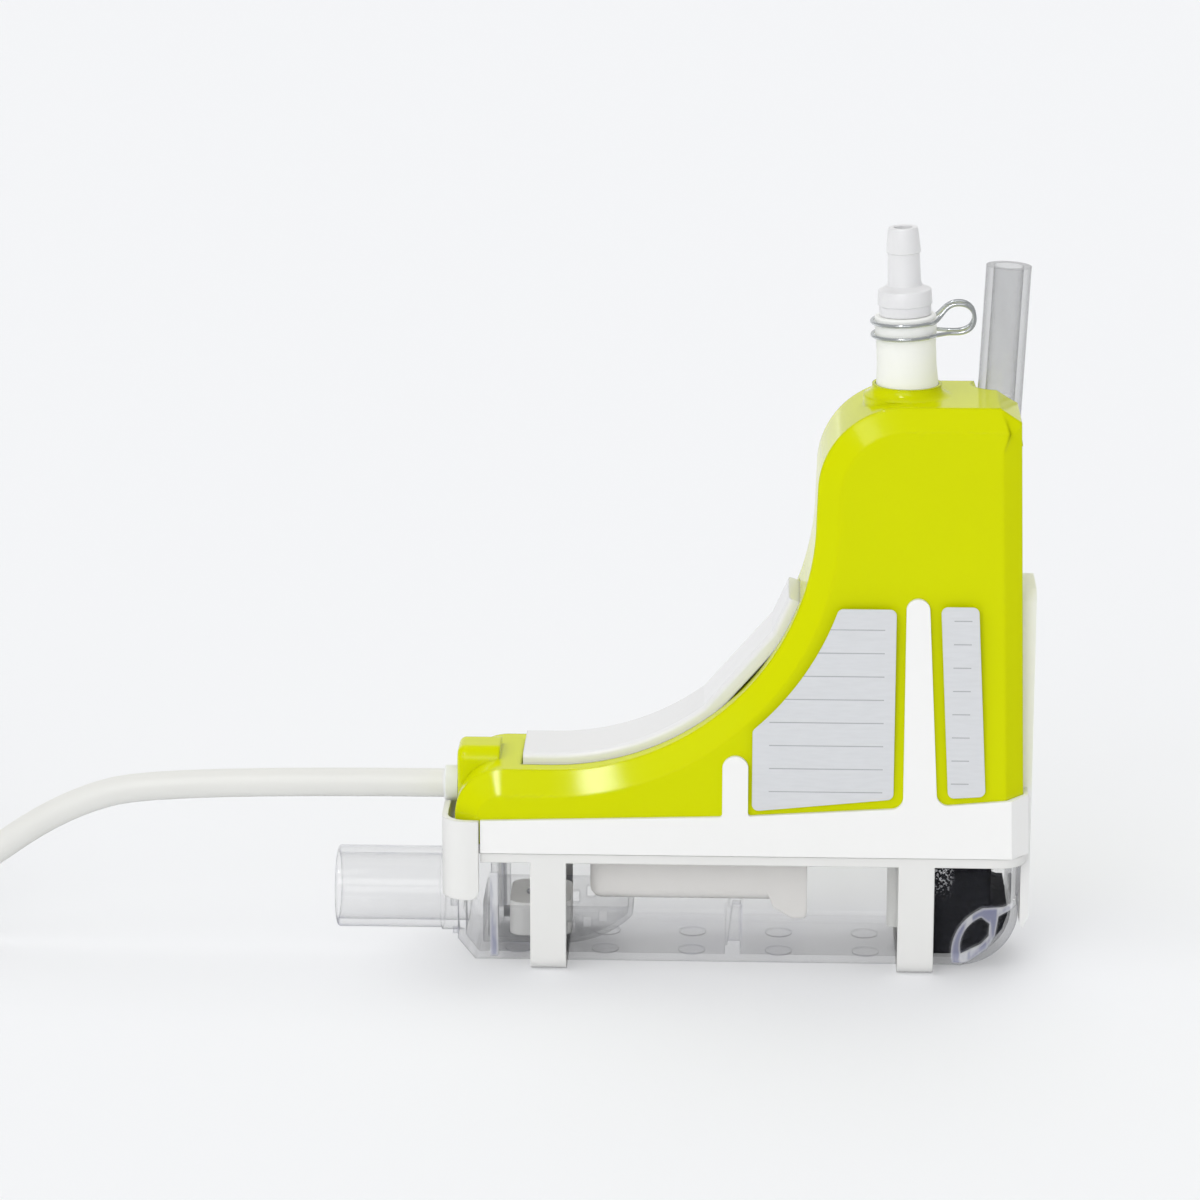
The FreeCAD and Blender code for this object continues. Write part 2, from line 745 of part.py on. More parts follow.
def make_chassis():
    """White floor of the pump: flange, upstand, tub that dips into the reservoir, fin and posts."""
    body = extruded("chassis_plate", "XY", plan_outline("0"), "flange_thick", level=SEAT)
    raised = new_sketch(body, "XY", DECK)
    draw_loop(raised, plan_outline("housing_wall + fit_gap"))
    draw_loop(raised, plan_outline("housing_wall + fit_gap + chassis_wall"))
    pad(body, raised, "upstand_rise")
    dipped = new_sketch(body, "XZ")
    draw_loop(dipped, [
        ("-tub_front_x", SEAT),
        ("-tub_front_x", "tub_bottom + tub_round", "tub_round"),
        ("-tub_front_x + tub_round", "tub_bottom"),
        ("tub_back_x - fin_width", "tub_bottom"),
        ("tub_back_x - fin_width + 0.4", "tub_bottom - 1"),
        ("tub_back_x - fin_tip", "fin_bottom"),
        ("tub_back_x - fin_round", "fin_bottom", "fin_round"),
        ("tub_back_x", "fin_bottom + fin_round"),
        ("tub_back_x", SEAT),
    ])
    pad(body, dipped, "2 * tub_half", both=True)
    dress(body, "Fillet", lambda e: runs_along(e, "z")
          and abs(abs(e.CenterOfMass.y) - value("tub_half")) < 0.01
          and e.CenterOfMass.z < value("part_line") and e.CenterOfMass.x < 0, Radius="tub_round")
    hollow = new_sketch(body, "XY", DECK)
    w = "chassis_wall"
    draw_loop(hollow, [
        (f"-tub_front_x + {w}", f"-tub_half + {w}"), (f"tub_back_x - {w}", f"-tub_half + {w}"),
        (f"tub_back_x - {w}", f"tub_half - {w}"), (f"-tub_front_x + {w}", f"tub_half - {w}"),
    ])
    pocket(body, hollow, f"{DECK} - tub_bottom - {w}")
    posts = [rod(f"board_post_{n}", "post_radius", f"board_level - ({DECK})", x, y, DECK)
             for n, (x, y) in enumerate(SCREW_PLACES)]
    holes = [rod(f"board_post_hole_{n}", "screw_diameter / 2 + fit_gap / 2",
                 "flange_thick + board_level - part_line",
                 x, y, f"{SEAT} + flange_thick / 2") for n, (x, y) in enumerate(SCREW_PLACES)]
    suction = rod("suction_hole", "suction_tube_bore / 2 + suction_tube_wall + fit_gap",
                  "2 * flange_thick + 1",
                  "outlet_x", "0", "part_line - 1")
    vent = rod("vent_hole", "vent_spigot_radius + vent_hose_wall + 3 * fit_gap", "2 * flange_thick + 1",
               VENT_X, "breather_y", "part_line - 1")
    whole = fuse("chassis_whole", body, *posts)
    return keep(cut("chassis_cut", whole, suction, vent, *holes), "base_chassis")


SCREW_PLACES = [(x, y) for x in (f"-{BOARD_FRONT} + 3", "board_back_x - 3")
                for y in ("-board_half + 2.5", "board_half - 2.5")]


def make_skirt():
    """Soft white band round the housing foot with its fingers and the back tongue."""
    f_low, f_high = "(front_finger_x - front_finger_width / 2)", "(front_finger_x + front_finger_width / 2)"
    b_low, b_high = "(back_finger_x - back_finger_width / 2)", "(back_finger_x + back_finger_width / 2)"
    band_back = "(back_x + 2 * skirt_thick)"

    def top_at(x):
        """Height of the band's gently sagging top edge."""
        run, rise = f"({band_back} + skirt_front_x)", "(skirt_back_top - skirt_front_top)"
        along = f"(({x}) + skirt_front_x)"
        return (f"skirt_front_top + {rise} * {along} / {run}"
                f" - {along} * ({run} - {along}) / (2 * skirt_sag_radius)")

    def finger(low, high, top, flare, root):
        """Round-topped finger with a rounded root on both sides; flare widens its foot towards +X."""
        return [
            (f"{high} + {flare} + {root}", top_at(f"{high} + {flare} + {root}"), f"-{root}"),
            (f"{high} + {flare}", f"{top_at(high)} + {root}"),
            (high, f"({top}) - ({high} - {low}) / 2", f"({high} - {low}) * 0.505"),
            (low, f"({top}) - ({high} - {low}) / 2"),
            (low, f"{top_at(low)} + {root}", f"-{root}"),
            (f"{low} - {root}", top_at(f"{low} - {root}")),
        ]

    corners = [("-skirt_front_x", SEAT), (band_back, SEAT), (band_back, "skirt_back_top")]
    corners += finger(b_low, b_high, "back_finger_top", "finger_flare", "finger_root")
    corners += finger(f_low, f_high, "front_finger_top", "0", "front_finger_root")
    corners.append(("-skirt_front_x", "skirt_front_top"))
    band = extruded("skirt_band", "XZ", corners, "4 * housing_half", both=True)
    skin = doc.addObject("Part::Common", "skirt_skin")
    skin.Base, skin.Tool = band, housing_form("skirt_outside", "skirt_thick")
    tongue = extruded("skirt_tongue", "XZ", [
        ("tank_back_x + body_gap + fit_gap", "tongue_bottom + tongue_bevel"),
        ("tongue_face_x - tongue_bevel", "tongue_bottom"),
        ("tongue_face_x", "tongue_bottom + 2 * tongue_bevel"),
        ("tongue_face_x", "tongue_top"),
        ("tank_back_x - back_lean", "tongue_top"),
        ("tank_back_x - back_lean", SEAT),
        ("tank_back_x + body_gap + fit_gap", SEAT),
    ], "2 * tongue_half", both=True)
    dress(tongue, "Fillet", lambda e: runs_along(e, "x") and e.CenterOfMass.z > value("tongue_top") - 0.1,
          Radius="tongue_round")
    core = housing_form("skirt_core", "fit_gap")
    return keep(cut("skirt_cut", fuse("skirt_whole", skin, tongue), core), "isolation_skirt")


def tank_corners(g, top):
    """Reservoir side view, grown all round by g, up to a top level."""
    return [
        (f"-tank_front_x - {g}", top),
        (f"-tank_front_x - {g}", f"tank_bottom + tank_bevel_z - {g} / 2"),
        (f"-tank_front_x + tank_bevel_x - {g} / 2", f"tank_bottom - {g}"),
        ("tank_back_x - tank_back_radius", f"tank_bottom - {g}", f"tank_back_radius + {g}"),
        (f"tank_back_x + {g}", "tank_bottom + tank_back_radius"),
        (f"tank_back_x + {g}", top),
    ]


def tank_form(name, grow="0", top="tank_top"):
    """Reservoir outside with rounded side edges, grown or shrunk by one distance."""
    g = f"({grow})"
    body = extruded(name, "XZ", tank_corners(g, top), f"2 * (tank_half + {g})", both=True)
    half = value(f"tank_half + {g}")
    dress(body, "Fillet", lambda e: lies_at(e, "y", half) and not lies_at(e, "z", value(top))
          or lies_at(e, "y", -half) and not lies_at(e, "z", value(top)), Radius=f"tank_edge + {g}")
    return body


def leaf_corners(loop):
    """Leaf points placed on the tank."""
    r = "tank_back_radius"
    corners = []
    for back, rise, *arc in loop:
        corner = (f"tank_back_x - {back} * {r}", f"tank_bottom + {rise} * {r}")
        corners.append(corner + tuple(f"{share} * {r}" for share in arc if share))
    return corners


def make_leaf():
    """Moulded leaf rib that stands proud of the tank's sides at its round back corner."""
    width = "4 * tank_half"
    ring = cut("leaf_ring", extruded("leaf_outer", "XZ", leaf_corners(LEAF_OUTER), width, both=True),
               extruded("leaf_inner", "XZ", leaf_corners(LEAF_INNER), width, both=True))
    leaf = doc.addObject("Part::Common", "tank_leaf")
    leaf.Base, leaf.Tool = ring, tank_form("leaf_skin", "rib_proud")
    return leaf


def make_reservoir():
    """Clear moulded tank: inlet pipe, weir with its fins, grip ribs, leaf ribs, nubs, pips and pins."""
    outside = tank_form("tank_outside")
    inside = tank_form("tank_inside", "-tank_wall", "part_line")
    weir = box("tank_weir", ("weir_x", "-tank_half", "tank_bottom"),
               ("weir_x + weir_width", "tank_half", "weir_top"))
    room = cut("tank_room", inside, weir)
    pipe = rod("tank_pipe", "pipe_diameter / 2", "pipe_end_x - tank_front_x + tank_wall", "-pipe_end_x", "0",
               "pipe_height", (1, 0, 0))
    rounded = doc.addObject("Part::Fillet", "tank_pipe_rim")
    rounded.Base = pipe
    doc.recompute()
    mouth = next(i for i, e in enumerate(pipe.Shape.Edges, start=1) if lies_at(e, "x", value("-pipe_end_x")))
    rounded.Edges = [(mouth, value("pipe_rim"), value("pipe_rim"))]
    stop = rod("tank_pipe_stop", "pipe_diameter / 2 + pipe_stop_rise",
               "pipe_stop_x - tank_front_x + tank_wall",
               "-pipe_stop_x", "0", "pipe_height", (1, 0, 0))
    bore = rod("tank_pipe_bore", "pipe_diameter / 2 - pipe_wall",
               "pipe_end_x - tank_front_x + tank_wall + 1",
               "-pipe_end_x - 1", "0", "pipe_height", (1, 0, 0))
    ribs = box("tank_grip_rib", ("-grip_rib_x - grip_rib_width / 2", "-tank_half - rib_proud",
                                 "grip_rib_bottom"),
               ("-grip_rib_x + grip_rib_width / 2", "tank_half + rib_proud", "grip_rib_top"))
    reach = f"({LATCH_HALF} - latch_wall + latch_pin_reach)"
    pins = rod("tank_latch_pin", "latch_pin / 2", f"2 * {reach}", "-latch_pivot_x", f"-{reach}",
               "latch_pivot_z",
               (0, 1, 0))
    nubs = [rod(f"tank_nub_{name}", f"{share} * nub_radius", f"tank_wall / 2 + {share} * nub_proud",
                f"-tank_front_x - {share} * nub_proud", "-nub_y", height, (1, 0, 0))
            for name, share, height in (("high", 1, "nub_height"), ("low", 0.7, "low_nub_height"))]
    pips = [rod(f"tank_pip_{n}_{side}", "pip_radius", "2 * pip_depth", f"{n} * pip_pitch - pip_front_x",
                f"pip_middle_y + {side} * pip_row", "tank_bottom + tank_wall - pip_depth")
            for n in range(PIPS_ALONG) for side in (-1, 1)]
    outer = fuse("tank_outer", outside, rounded, stop, ribs, pins, make_leaf(), *nubs)
    tank = cut("tank_cut", outer, room, bore, *pips)
    fin = extruded("tank_fin", "XZ", [
        ("fin_low_x", "weir_top - 0.5"), ("fin_low_x + 1.6 * fin_thick", "weir_top - 0.5"),
        ("fin_high_x + fin_thick", "fin_top"), ("fin_high_x", "fin_top"),
    ], "2 * tank_half - tank_wall", both=True)
    middle = box("tank_fin_middle", ("0", "-fin_inner", "0"), ("back_x", "fin_inner", "part_line"))
    return keep(fuse("tank_finned", tank, cut("tank_fins", fin, middle)), "reservoir")


def make_gasket():
    """Seal on the rim of the reservoir."""
    def ring(inset):
        i = f"({inset})"
        front, back, side = f"(tank_front_x - {i})", f"(tank_back_x - {i})", f"(tank_half - {i})"
        r = f"(tank_edge - {i})"
        return [
            (f"-{front}", f"-{side} + {r}", r), (f"-{front} + {r}", f"-{side}"),
            (f"{back} - {r}", f"-{side}", r), (f"{back}", f"-{side} + {r}"),
            (f"{back}", f"{side} - {r}", r), (f"{back} - {r}", side),
            (f"-{front} + {r}", side, r), (f"-{front}", f"{side} - {r}"),
        ]

    body = new_body("tank_gasket")
    sketch = new_sketch(body, "XY", "tank_top")
    draw_loop(sketch, ring("tank_wall / 8"))
    draw_loop(sketch, ring("tank_wall - tank_wall / 8"))
    pad(body, sketch, "gasket_thick")
    return keep(body, "tank_gasket")


def make_foam():
    """Black open-cell filter that fills the back end of the reservoir."""
    g = "(tank_wall + foam_gap)"
    foam = extruded("filter_foam", "XZ", [
        ("foam_front_x", f"tank_bottom + {g}"),
        ("tank_back_x - tank_back_radius", f"tank_bottom + {g}", f"tank_back_radius - {g}"),
        (f"tank_back_x - {g}", "tank_bottom + tank_back_radius"),
        (f"tank_back_x - {g}", "foam_top"),
        ("foam_front_x", "foam_top"),
    ], f"2 * (tank_half - {g} - foam_gap)", both=True)
    return keep(foam, "filter_foam")


def make_float_cage():
    """Translucent strainer boat round the float, slotted along its bilge, with guide posts."""
    def boat(g):
        bend, run = f"(cage_bilge_radius - {g})", f"(cage_bilge_x - cage_back_x - {g})"
        return [
            (f"-cage_front_x + {g}", f"cage_rim + 4 * {g}"),
            (f"-cage_front_x + {g}", f"cage_bottom + {g}"),
            ("-cage_bilge_x", f"cage_bottom + {g}", bend),
            (f"-cage_back_x - {g}", f"cage_bottom + cage_bilge_radius - sqrt({bend}^2 - {run}^2)"),
            (f"-cage_back_x - {g}", f"cage_rim + 4 * {g}"),
        ]

    def hull(name, g):
        """One skin of the boat, its side edges rounded below the rim."""
        half = value(f"cage_half - {g}")
        skin = extruded(name, "XZ", boat(g), f"2 * (cage_half - {g})", both=True)
        dress(skin, "Fillet", lambda e: abs(abs(halfway(e).y) - half) < 0.01
              and halfway(e).z < value("cage_rim") - 0.01, Radius=f"cage_round - {g}")
        return skin

    shell, room = hull("cage_outside", "0"), hull("cage_inside", "cage_wall")
    slots = []
    for n in range(int(value("cage_slot_count"))):
        x, z = f"-cage_slot_x + {n} * cage_pitch", f"cage_bottom + cage_slot + 1.2 * {n} * cage_wall"
        slots.append(box(f"cage_slot_{n}", (x, "-2 * cage_half", z),
                         (f"{x} + cage_slot", "2 * cage_half", f"{z} + 1.5 * cage_slot")))
    drains = [rod(f"cage_drain_{n}", "cage_slot / 2", "3 * cage_wall",
                  f"-cage_front_x + {n + 2} * cage_pitch", y,
                  "cage_bottom - cage_wall") for n in range(3) for y in ("-cage_half / 3", "cage_half / 3")]
    posts = []
    for n, y in enumerate(("-cage_half / 2", "cage_half / 2 - 2 * cage_post")):
        x = f"-cage_front_x + 1.5 * cage_wall + 1.5 * {n} * cage_post"
        posts.append(box(f"cage_post_{n}", (x, y, "cage_bottom"),
                         (f"{x} + cage_post", f"{y} + 2 * cage_post", "cage_post_top")))
    bowl = cut("cage_bowl", shell, room, *slots, *drains)
    return keep(fuse("cage_whole", bowl, *posts), "float_cage")


def make_float():
    """Sealed float and the magnet on its top that the sensor feels."""
    body = extruded("float_block", "XY", [
        ("-float_length / 2", "-float_width / 2"), ("float_length / 2", "-float_width / 2"),
        ("float_length / 2", "float_width / 2"), ("-float_length / 2", "float_width / 2"),
    ], "float_thick", level="float_bottom")
    dress(body, "Fillet", lambda e: runs_along(e, "z"), Radius="float_round")
    seat = new_sketch(body, "XY", "float_bottom + float_thick")
    draw_circle(seat, "0", "0", "magnet_diameter / 2 + fit_gap")
    pocket(body, seat, "magnet_thick")
    drive(body, "Placement.Base.x", "-float_x")
    keep(body, "float_block")
    magnet = rod("float_magnet", "magnet_diameter / 2", "magnet_thick", "-float_x", "0",
                 "float_bottom + float_thick - magnet_thick")
    keep(magnet, "float_magnet")


def make_cradle():
    """White carrier: a rim round the reservoir and two straps under it."""
    side, back, r = "rim_half", "rim_back_x", "rim_corner"
    rim = extruded("cradle_rim", "XY", [
        ("-skirt_front_x", f"-{side}"), (f"{back} - {r}", f"-{side}", r), (back, f"-{side} + {r}"),
        (back, f"{side} - {r}", r), (f"{back} - {r}", side), ("-skirt_front_x", side),
    ], "rim_height", level="part_line - body_gap / 2 - rim_height")
    c = "strap_corner"
    profile = [
        (f"-{side}", "part_line - body_gap / 2"), (f"-{side}", c, c), (f"-{side} + {c}", "0"),
        (f"{side} - {c}", "0", c), (side, c), (side, "part_line - body_gap / 2"),
    ]
    straps = [extruded(f"cradle_strap_{name}", "YZ", profile, "strap_width", level=f"{x} - strap_width / 2")
              for name, x in (("front", "-strap_front_x"), ("back", "strap_back_x"))]
    room = tank_form("cradle_room", "fit_gap", "part_line + 1")
    notch = box("tongue_notch", ("tank_half", "-tongue_half - body_gap", "0"),
                ("2 * back_x", "tongue_half + body_gap", "part_line"))
    notch.setExpression("Placement.Base.x", bind("back_x - bevel_in"))
    return keep(cut("cradle_cut", fuse("cradle_whole", rim, *straps), room, notch), "tank_cradle")


def make_latch():
    """White spring latch round the inlet end; it turns on the pins of the reservoir."""
    f, b, h, w, r = "latch_front_x", "latch_back_x", LATCH_HALF, "latch_wall", "latch_corner"
    body = extruded("latch", "XY", [
        (f"-{b}", f"-{h}"), (f"-{b}", f"-{h} + {w}"), (f"-{f} + {r}", f"-{h} + {w}", f"-({r} - {w})"),
        (f"-{f} + {w}", f"-{h} + {r}"), (f"-{f} + {w}", f"{h} - {r}", f"-({r} - {w})"),
        (f"-{f} + {r}", f"{h} - {w}"), (f"-{b}", f"{h} - {w}"), (f"-{b}", h),
        (f"-{f} + {r}", h, r), (f"-{f}", f"{h} - {r}"), (f"-{f}", f"-{h} + {r}", r),
        (f"-{f} + {r}", f"-{h}"),
    ], "latch_top - latch_bottom", level="latch_bottom")
    dress(body, "Fillet", lambda e: runs_along(e, "y") and e.CenterOfMass.x > value("-latch_back_x") - 0.01
          and e.CenterOfMass.z < value("latch_bottom") + 0.01, Radius="latch_heel")
    pipe = rod("latch_pipe_room", "pipe_diameter / 2 + pipe_clearance", "latch_corner",
               "-latch_front_x - 1", "0",
               "pipe_height", (1, 0, 0))
    cable = rod("latch_cable_room", "cord_diameter / 2 + cable_clearance", "latch_corner",
                "-latch_front_x - 1",
                "0", "cable_height", (1, 0, 0))
    reach = f"({LATCH_HALF} - latch_wall + latch_pin_reach + fit_gap)"
    pins = rod("latch_pin_room", "latch_pin / 2 + running_gap", f"2 * {reach}", "-latch_pivot_x",
               f"-{reach}",
               "latch_pivot_z", (0, 1, 0))
    return keep(cut("latch_cut", body, pipe, cable, pins), "front_latch")


def place_label(body):
    """Lay a label on the drafted near side of the housing."""
    body.Placement.Rotation = FreeCAD.Rotation(FreeCAD.Vector(1, 0, 0), -value("side_draft"))
    drive(body, "Placement.Rotation.Angle", "side_draft" + DEGREE)
    drive(body, "Placement.Base.y", "-housing_half - label_thick / 5")
    drive(body, "Placement.Base.z", "part_line")
    dress(body, "Fillet", lambda e: runs_along(e, "y"), Radius="label_round")


def make_labels():
    """Two bare foil labels on the near side."""
    low = "part_line"
    rating = extruded("rating_label", "XZ", [
        ("rating_front_x", f"rating_bottom - {low}"),
        ("rating_back_x", f"rating_bottom + rating_lift - {low}"),
        ("rating_back_x", f"rating_top - {low}"),
        ("rating_top_x", f"rating_top - {low}", "-(sweep_radius + 6.3)"),
        ("rating_front_x", f"rating_knee_z - {low}"),
    ], "label_thick")
    place_label(rating)
    serial = extruded("serial_label", "XZ", [
        ("serial_front_x + serial_lean", f"serial_bottom - {low}"),
        ("serial_front_x + serial_lean + serial_width", f"serial_bottom + 0.5 - {low}"),
        ("serial_front_x + serial_width", f"serial_top - {low}"),
        ("serial_front_x", f"serial_top - {low}"),
    ], "label_thick")
    place_label(serial)
    keep(rating, "rating_label")
    keep(serial, "serial_label")


def spring(name, radius, wire, low, high, turns):
    """Coil spring between two levels on the pump's axis, its end turns inside them."""
    helix = doc.addObject("Part::Helix", name + "_line")
    drive(helix, "Radius", radius)
    drive(helix, "Height", f"({high}) - ({low}) - 2 * fit_gap - {wire}")
    drive(helix, "Pitch", f"(({high}) - ({low}) - 2 * fit_gap - {wire}) / {turns}")
    wire_end = doc.addObject("Part::Circle", name + "_wire")
    drive(wire_end, "Radius", f"{wire} / 2")
    wire_end.Placement.Rotation = FreeCAD.Rotation(FreeCAD.Vector(1, 0, 0), 90)
    drive(wire_end, "Placement.Base.x", radius)
    sweep = doc.addObject("Part::Sweep", name)
    sweep.Sections = [wire_end]
    sweep.Spine = (helix, [])
    sweep.Solid = True
    sweep.Frenet = True
    drive(sweep, "Placement.Base.x", "outlet_x")
    drive(sweep, "Placement.Base.z", f"({low}) + fit_gap + {wire} / 2")
    return keep(sweep, name)


# Levels up the pump's axis
FLANGE_Z = f"({DECK} + fit_gap + deck_mount_thick + fit_gap)"
HUB_Z = f"({FLANGE_Z} + fitting_flange)"
CYLINDER_Z = f"({HUB_Z} + fitting_hub_height)"
SPIGOT_Z = f"({CYLINDER_Z} + spigot_height)"
CYLINDER_TOP = f"({CYLINDER_Z} + cylinder_length)"
HEAD_Z = f"({CYLINDER_TOP} - head_spigot)"
HEAD_FLANGE_Z = f"({CYLINDER_TOP} + fit_gap)"
HEAD_TOP = f"({HEAD_FLANGE_Z} + head_flange + head_hub_height)"
PORT_Z = f"({HEAD_TOP} + fit_gap)"
PORT_SPIGOT_Z = f"({PORT_Z} + port_flange)"
PORT_TOP = f"({PORT_SPIGOT_Z} + port_height)"
FLOW = "flow_bore / 2"
BORE = "cylinder_bore / 2"


def on_axis(name, corners):
    return keep(turned(name + "_turned", corners, x="outlet_x"), name)


def make_pump():
    """Solenoid piston pump, from the suction tube up to the outlet port."""
    on_axis("lower_mount", tube_corners("suction_tube_bore / 2 + suction_tube_wall + 4 * fit_gap",
                                        "mount_radius",
                                        f"{DECK} + fit_gap", f"{DECK} + fit_gap + deck_mount_thick"))
    on_axis("suction_tube",
            tube_corners("suction_tube_bore / 2", "suction_tube_bore / 2 + suction_tube_wall",
                                         "suction_end", f"{FLANGE_Z} - fit_gap"))
    chamber = "valve_bore / 2"
    spigot = f"{BORE} - fit_gap"
    on_axis("inlet_fitting", [
        (f"{FLOW} - 0.6", f"{DECK} - 4 * flange_thick"),
        ("suction_tube_bore / 2 - fit_gap / 2", f"{DECK} - 4 * flange_thick"),
        ("suction_tube_bore / 2 - fit_gap / 2", FLANGE_Z),
        ("mount_radius", FLANGE_Z), ("mount_radius", HUB_Z),
        ("fitting_hub_radius", HUB_Z), ("fitting_hub_radius", CYLINDER_Z),
        (spigot, CYLINDER_Z), (spigot, SPIGOT_Z),
        (chamber, SPIGOT_Z), (chamber, f"{SPIGOT_Z} - valve_seat_depth - spigot_height"),
        (f"{FLOW} - 0.6", f"{SPIGOT_Z} - valve_seat_depth - spigot_height"),
    ])
    on_axis("pump_cylinder", tube_corners(BORE, f"{BORE} + cylinder_wall", CYLINDER_Z, CYLINDER_TOP))
    on_axis("piston", tube_corners(FLOW, f"{BORE} - running_gap", "piston_level",
                                   "piston_level + piston_length"))
    on_axis("outlet_head", [
        (FLOW, HEAD_Z), (spigot, HEAD_Z), (spigot, HEAD_FLANGE_Z),
        ("mount_radius", HEAD_FLANGE_Z), ("mount_radius", f"{HEAD_FLANGE_Z} + head_flange"),
        ("fitting_hub_radius", f"{HEAD_FLANGE_Z} + head_flange"), ("fitting_hub_radius", HEAD_TOP),
        (chamber, HEAD_TOP), (chamber, f"{HEAD_TOP} - valve_seat_depth - valve_thick"),
        (FLOW, f"{HEAD_TOP} - valve_seat_depth - valve_thick"),
    ])
    hose = "outlet_tube_bore / 2 - fit_gap / 2"
    on_axis("outlet_port", [
        (FLOW, PORT_Z), ("fitting_hub_radius", PORT_Z), ("fitting_hub_radius", PORT_SPIGOT_Z),
        (hose, PORT_SPIGOT_Z), (hose, f"{PORT_TOP} - port_flange"),
        (f"{hose} - 0.8", PORT_TOP), (FLOW, PORT_TOP),
    ])
    seats = {
        "inlet": (f"({SPIGOT_Z} - valve_seat_depth - spigot_height)", f"({SPIGOT_Z} - retainer_thick)"),
        "outlet": (f"({HEAD_TOP} - valve_seat_depth - valve_thick)", f"({HEAD_TOP})"),
    }
    for side, (seat, stop) in seats.items():
        on_axis(side + "_valve", [
            ("0", f"{seat} + fit_gap"), ("valve_diameter / 2", f"{seat} + fit_gap"),
            ("valve_diameter / 2", f"{seat} + fit_gap + valve_thick"),
            ("0", f"{seat} + fit_gap + valve_thick"),
        ])
        spring(side + "_valve_spring", "valve_diameter / 2 - valve_spring_wire", "valve_spring_wire",
               f"({seat} + fit_gap + valve_thick)", stop, 3)
    on_axis("inlet_valve_retainer", tube_corners(FLOW, f"{chamber} - fit_gap / 2",
                                                 f"{SPIGOT_Z} - retainer_thick", SPIGOT_Z))
    spring("lower_piston_spring", "spring_radius", "spring_wire", SPIGOT_Z, "piston_level", "spring_turns")
    spring("upper_piston_spring", "spring_radius", "spring_wire", "(piston_level + piston_length)", HEAD_Z,
           "(spring_turns + 1)")
    on_axis("upper_mount", tube_corners("outlet_tube_bore / 2 + outlet_tube_wall + fit_gap",
                                        "upper_mount_radius", f"{PORT_SPIGOT_Z} + port_height / 4",
                                        "upper_mount_top"))


def make_solenoid():
    """Steel yoke, bobbin and winding round the cylinder."""
    t, hole = "yoke_thick", f"{BORE} + cylinder_wall + fit_gap"
    left, right = "outlet_x - yoke_length / 2", "outlet_x + yoke_length / 2"
    frame = extruded("yoke_frame", "XZ", [
        (left, "coil_level"), (right, "coil_level"),
        (right, "coil_level + yoke_height"), (left, "coil_level + yoke_height"),
    ], "2 * yoke_half", both=True)
    dress(frame, "Fillet", lambda e: runs_along(e, "y"), Radius="yoke_thick")
    window = new_sketch(frame, "XZ")
    draw_loop(window, [
        (f"{left} + {t}", f"coil_level + {t}"), (f"{right} - {t}", f"coil_level + {t}"),
        (f"{right} - {t}", f"coil_level + yoke_height - {t}"),
        (f"{left} + {t}", f"coil_level + yoke_height - {t}"),
    ])
    pocket(frame, window, "4 * yoke_half", both=True)
    through = rod("yoke_hole", hole, "yoke_height + 2", "outlet_x", "0", "coil_level - 1")
    keep(cut("yoke_cut", frame, through), "pump_yoke")
    low, high = f"coil_level + {t} + fit_gap", f"coil_level + yoke_height - {t} - fit_gap"
    flange, inner, tube = "winding_radius + 0.5", hole, f"{hole} + bobbin_wall"
    on_axis("coil_bobbin", [
        (inner, low), (flange, low), (flange, f"{low} + bobbin_flange"), (tube, f"{low} + bobbin_flange"),
        (tube, f"{high} - bobbin_flange"), (flange, f"{high} - bobbin_flange"), (flange, high),
        (inner, high),
    ])
    on_axis("coil_winding", tube_corners(f"{tube} + fit_gap", "winding_radius",
                                         f"{low} + bobbin_flange + fit_gap",
                                         f"{high} - bobbin_flange - fit_gap"))


def make_outlet():
    """Silicone outlet tube, white hose adaptor and wire clip; above the collar they lean as one."""
    inner = "outlet_tube_bore / 2"
    outer = f"({inner} + outlet_tube_wall)"
    collar = "(head_height + collar_rise)"
    lean = (FreeCAD.Vector(0, 1, 0), -value("outlet_lean"))

    def leaning(name, corners):
        """Turned piece whose heights count from the collar's top."""
        return turned(name, [(c[0], f"({c[1]}) - {collar}", *c[2:]) for c in corners],
                      x="outlet_x", z=collar, tilt=lean)

    straight = turned("outlet_tube_foot", tube_corners(
        f"{inner} + fit_gap / 2", f"{outer} - fit_gap", f"{PORT_SPIGOT_Z} + fit_gap", f"{collar} + 0.5"),
        x="outlet_x")
    bent = leaning("outlet_tube_body", [
        (inner, f"{collar} - 0.4"), (outer, f"{collar} - 0.4"),
        (f"{outer} - outlet_tube_waist", f"{collar} + 4"),
        (f"{outer} - outlet_tube_waist", "clip_low - 2"),
        (f"{outer} - 0.1", "clip_low"), (f"{outer} - 0.1", "outlet_tube_top - 0.4", "0.4"),
        (f"{outer} - 0.5", "outlet_tube_top"), (inner, "outlet_tube_top"),
    ])
    keep(fuse("outlet_tube_whole", straight, bent), "outlet_tube")
    step, base = "adaptor_step_radius", "(outlet_tube_top + fit_gap)"
    ledge = f"({base} + adaptor_step_height)"
    cone = f"({ledge} + adaptor_step_height)"
    neck = f"({cone} + adaptor_cone_height)"
    barb = f"({neck} + barb_neck_length)"
    tip = f"({barb} + barb_length)"
    bore = "adaptor_bore / 2"
    keep(leaning("outlet_adaptor_turned", [
        (bore, "outlet_tube_top - adaptor_root"), (f"{inner} - 0.8", "outlet_tube_top - adaptor_root"),
        (f"{inner} - fit_gap / 2", "outlet_tube_top - adaptor_root + 2"), (f"{inner} - fit_gap / 2", base),
        (step, base), (step, f"{ledge} - 0.3", "0.3"), (f"{step} - 0.3", ledge), (f"{step} - 0.3", cone),
        ("barb_diameter / 2", neck), ("barb_diameter / 2", barb),
        ("barb_tip_diameter / 2", tip), (bore, tip),
    ]), "outlet_adaptor")
    make_clip(value(f"{outer} + fit_gap / 2 + clip_wire / 2"), value(collar), lean)


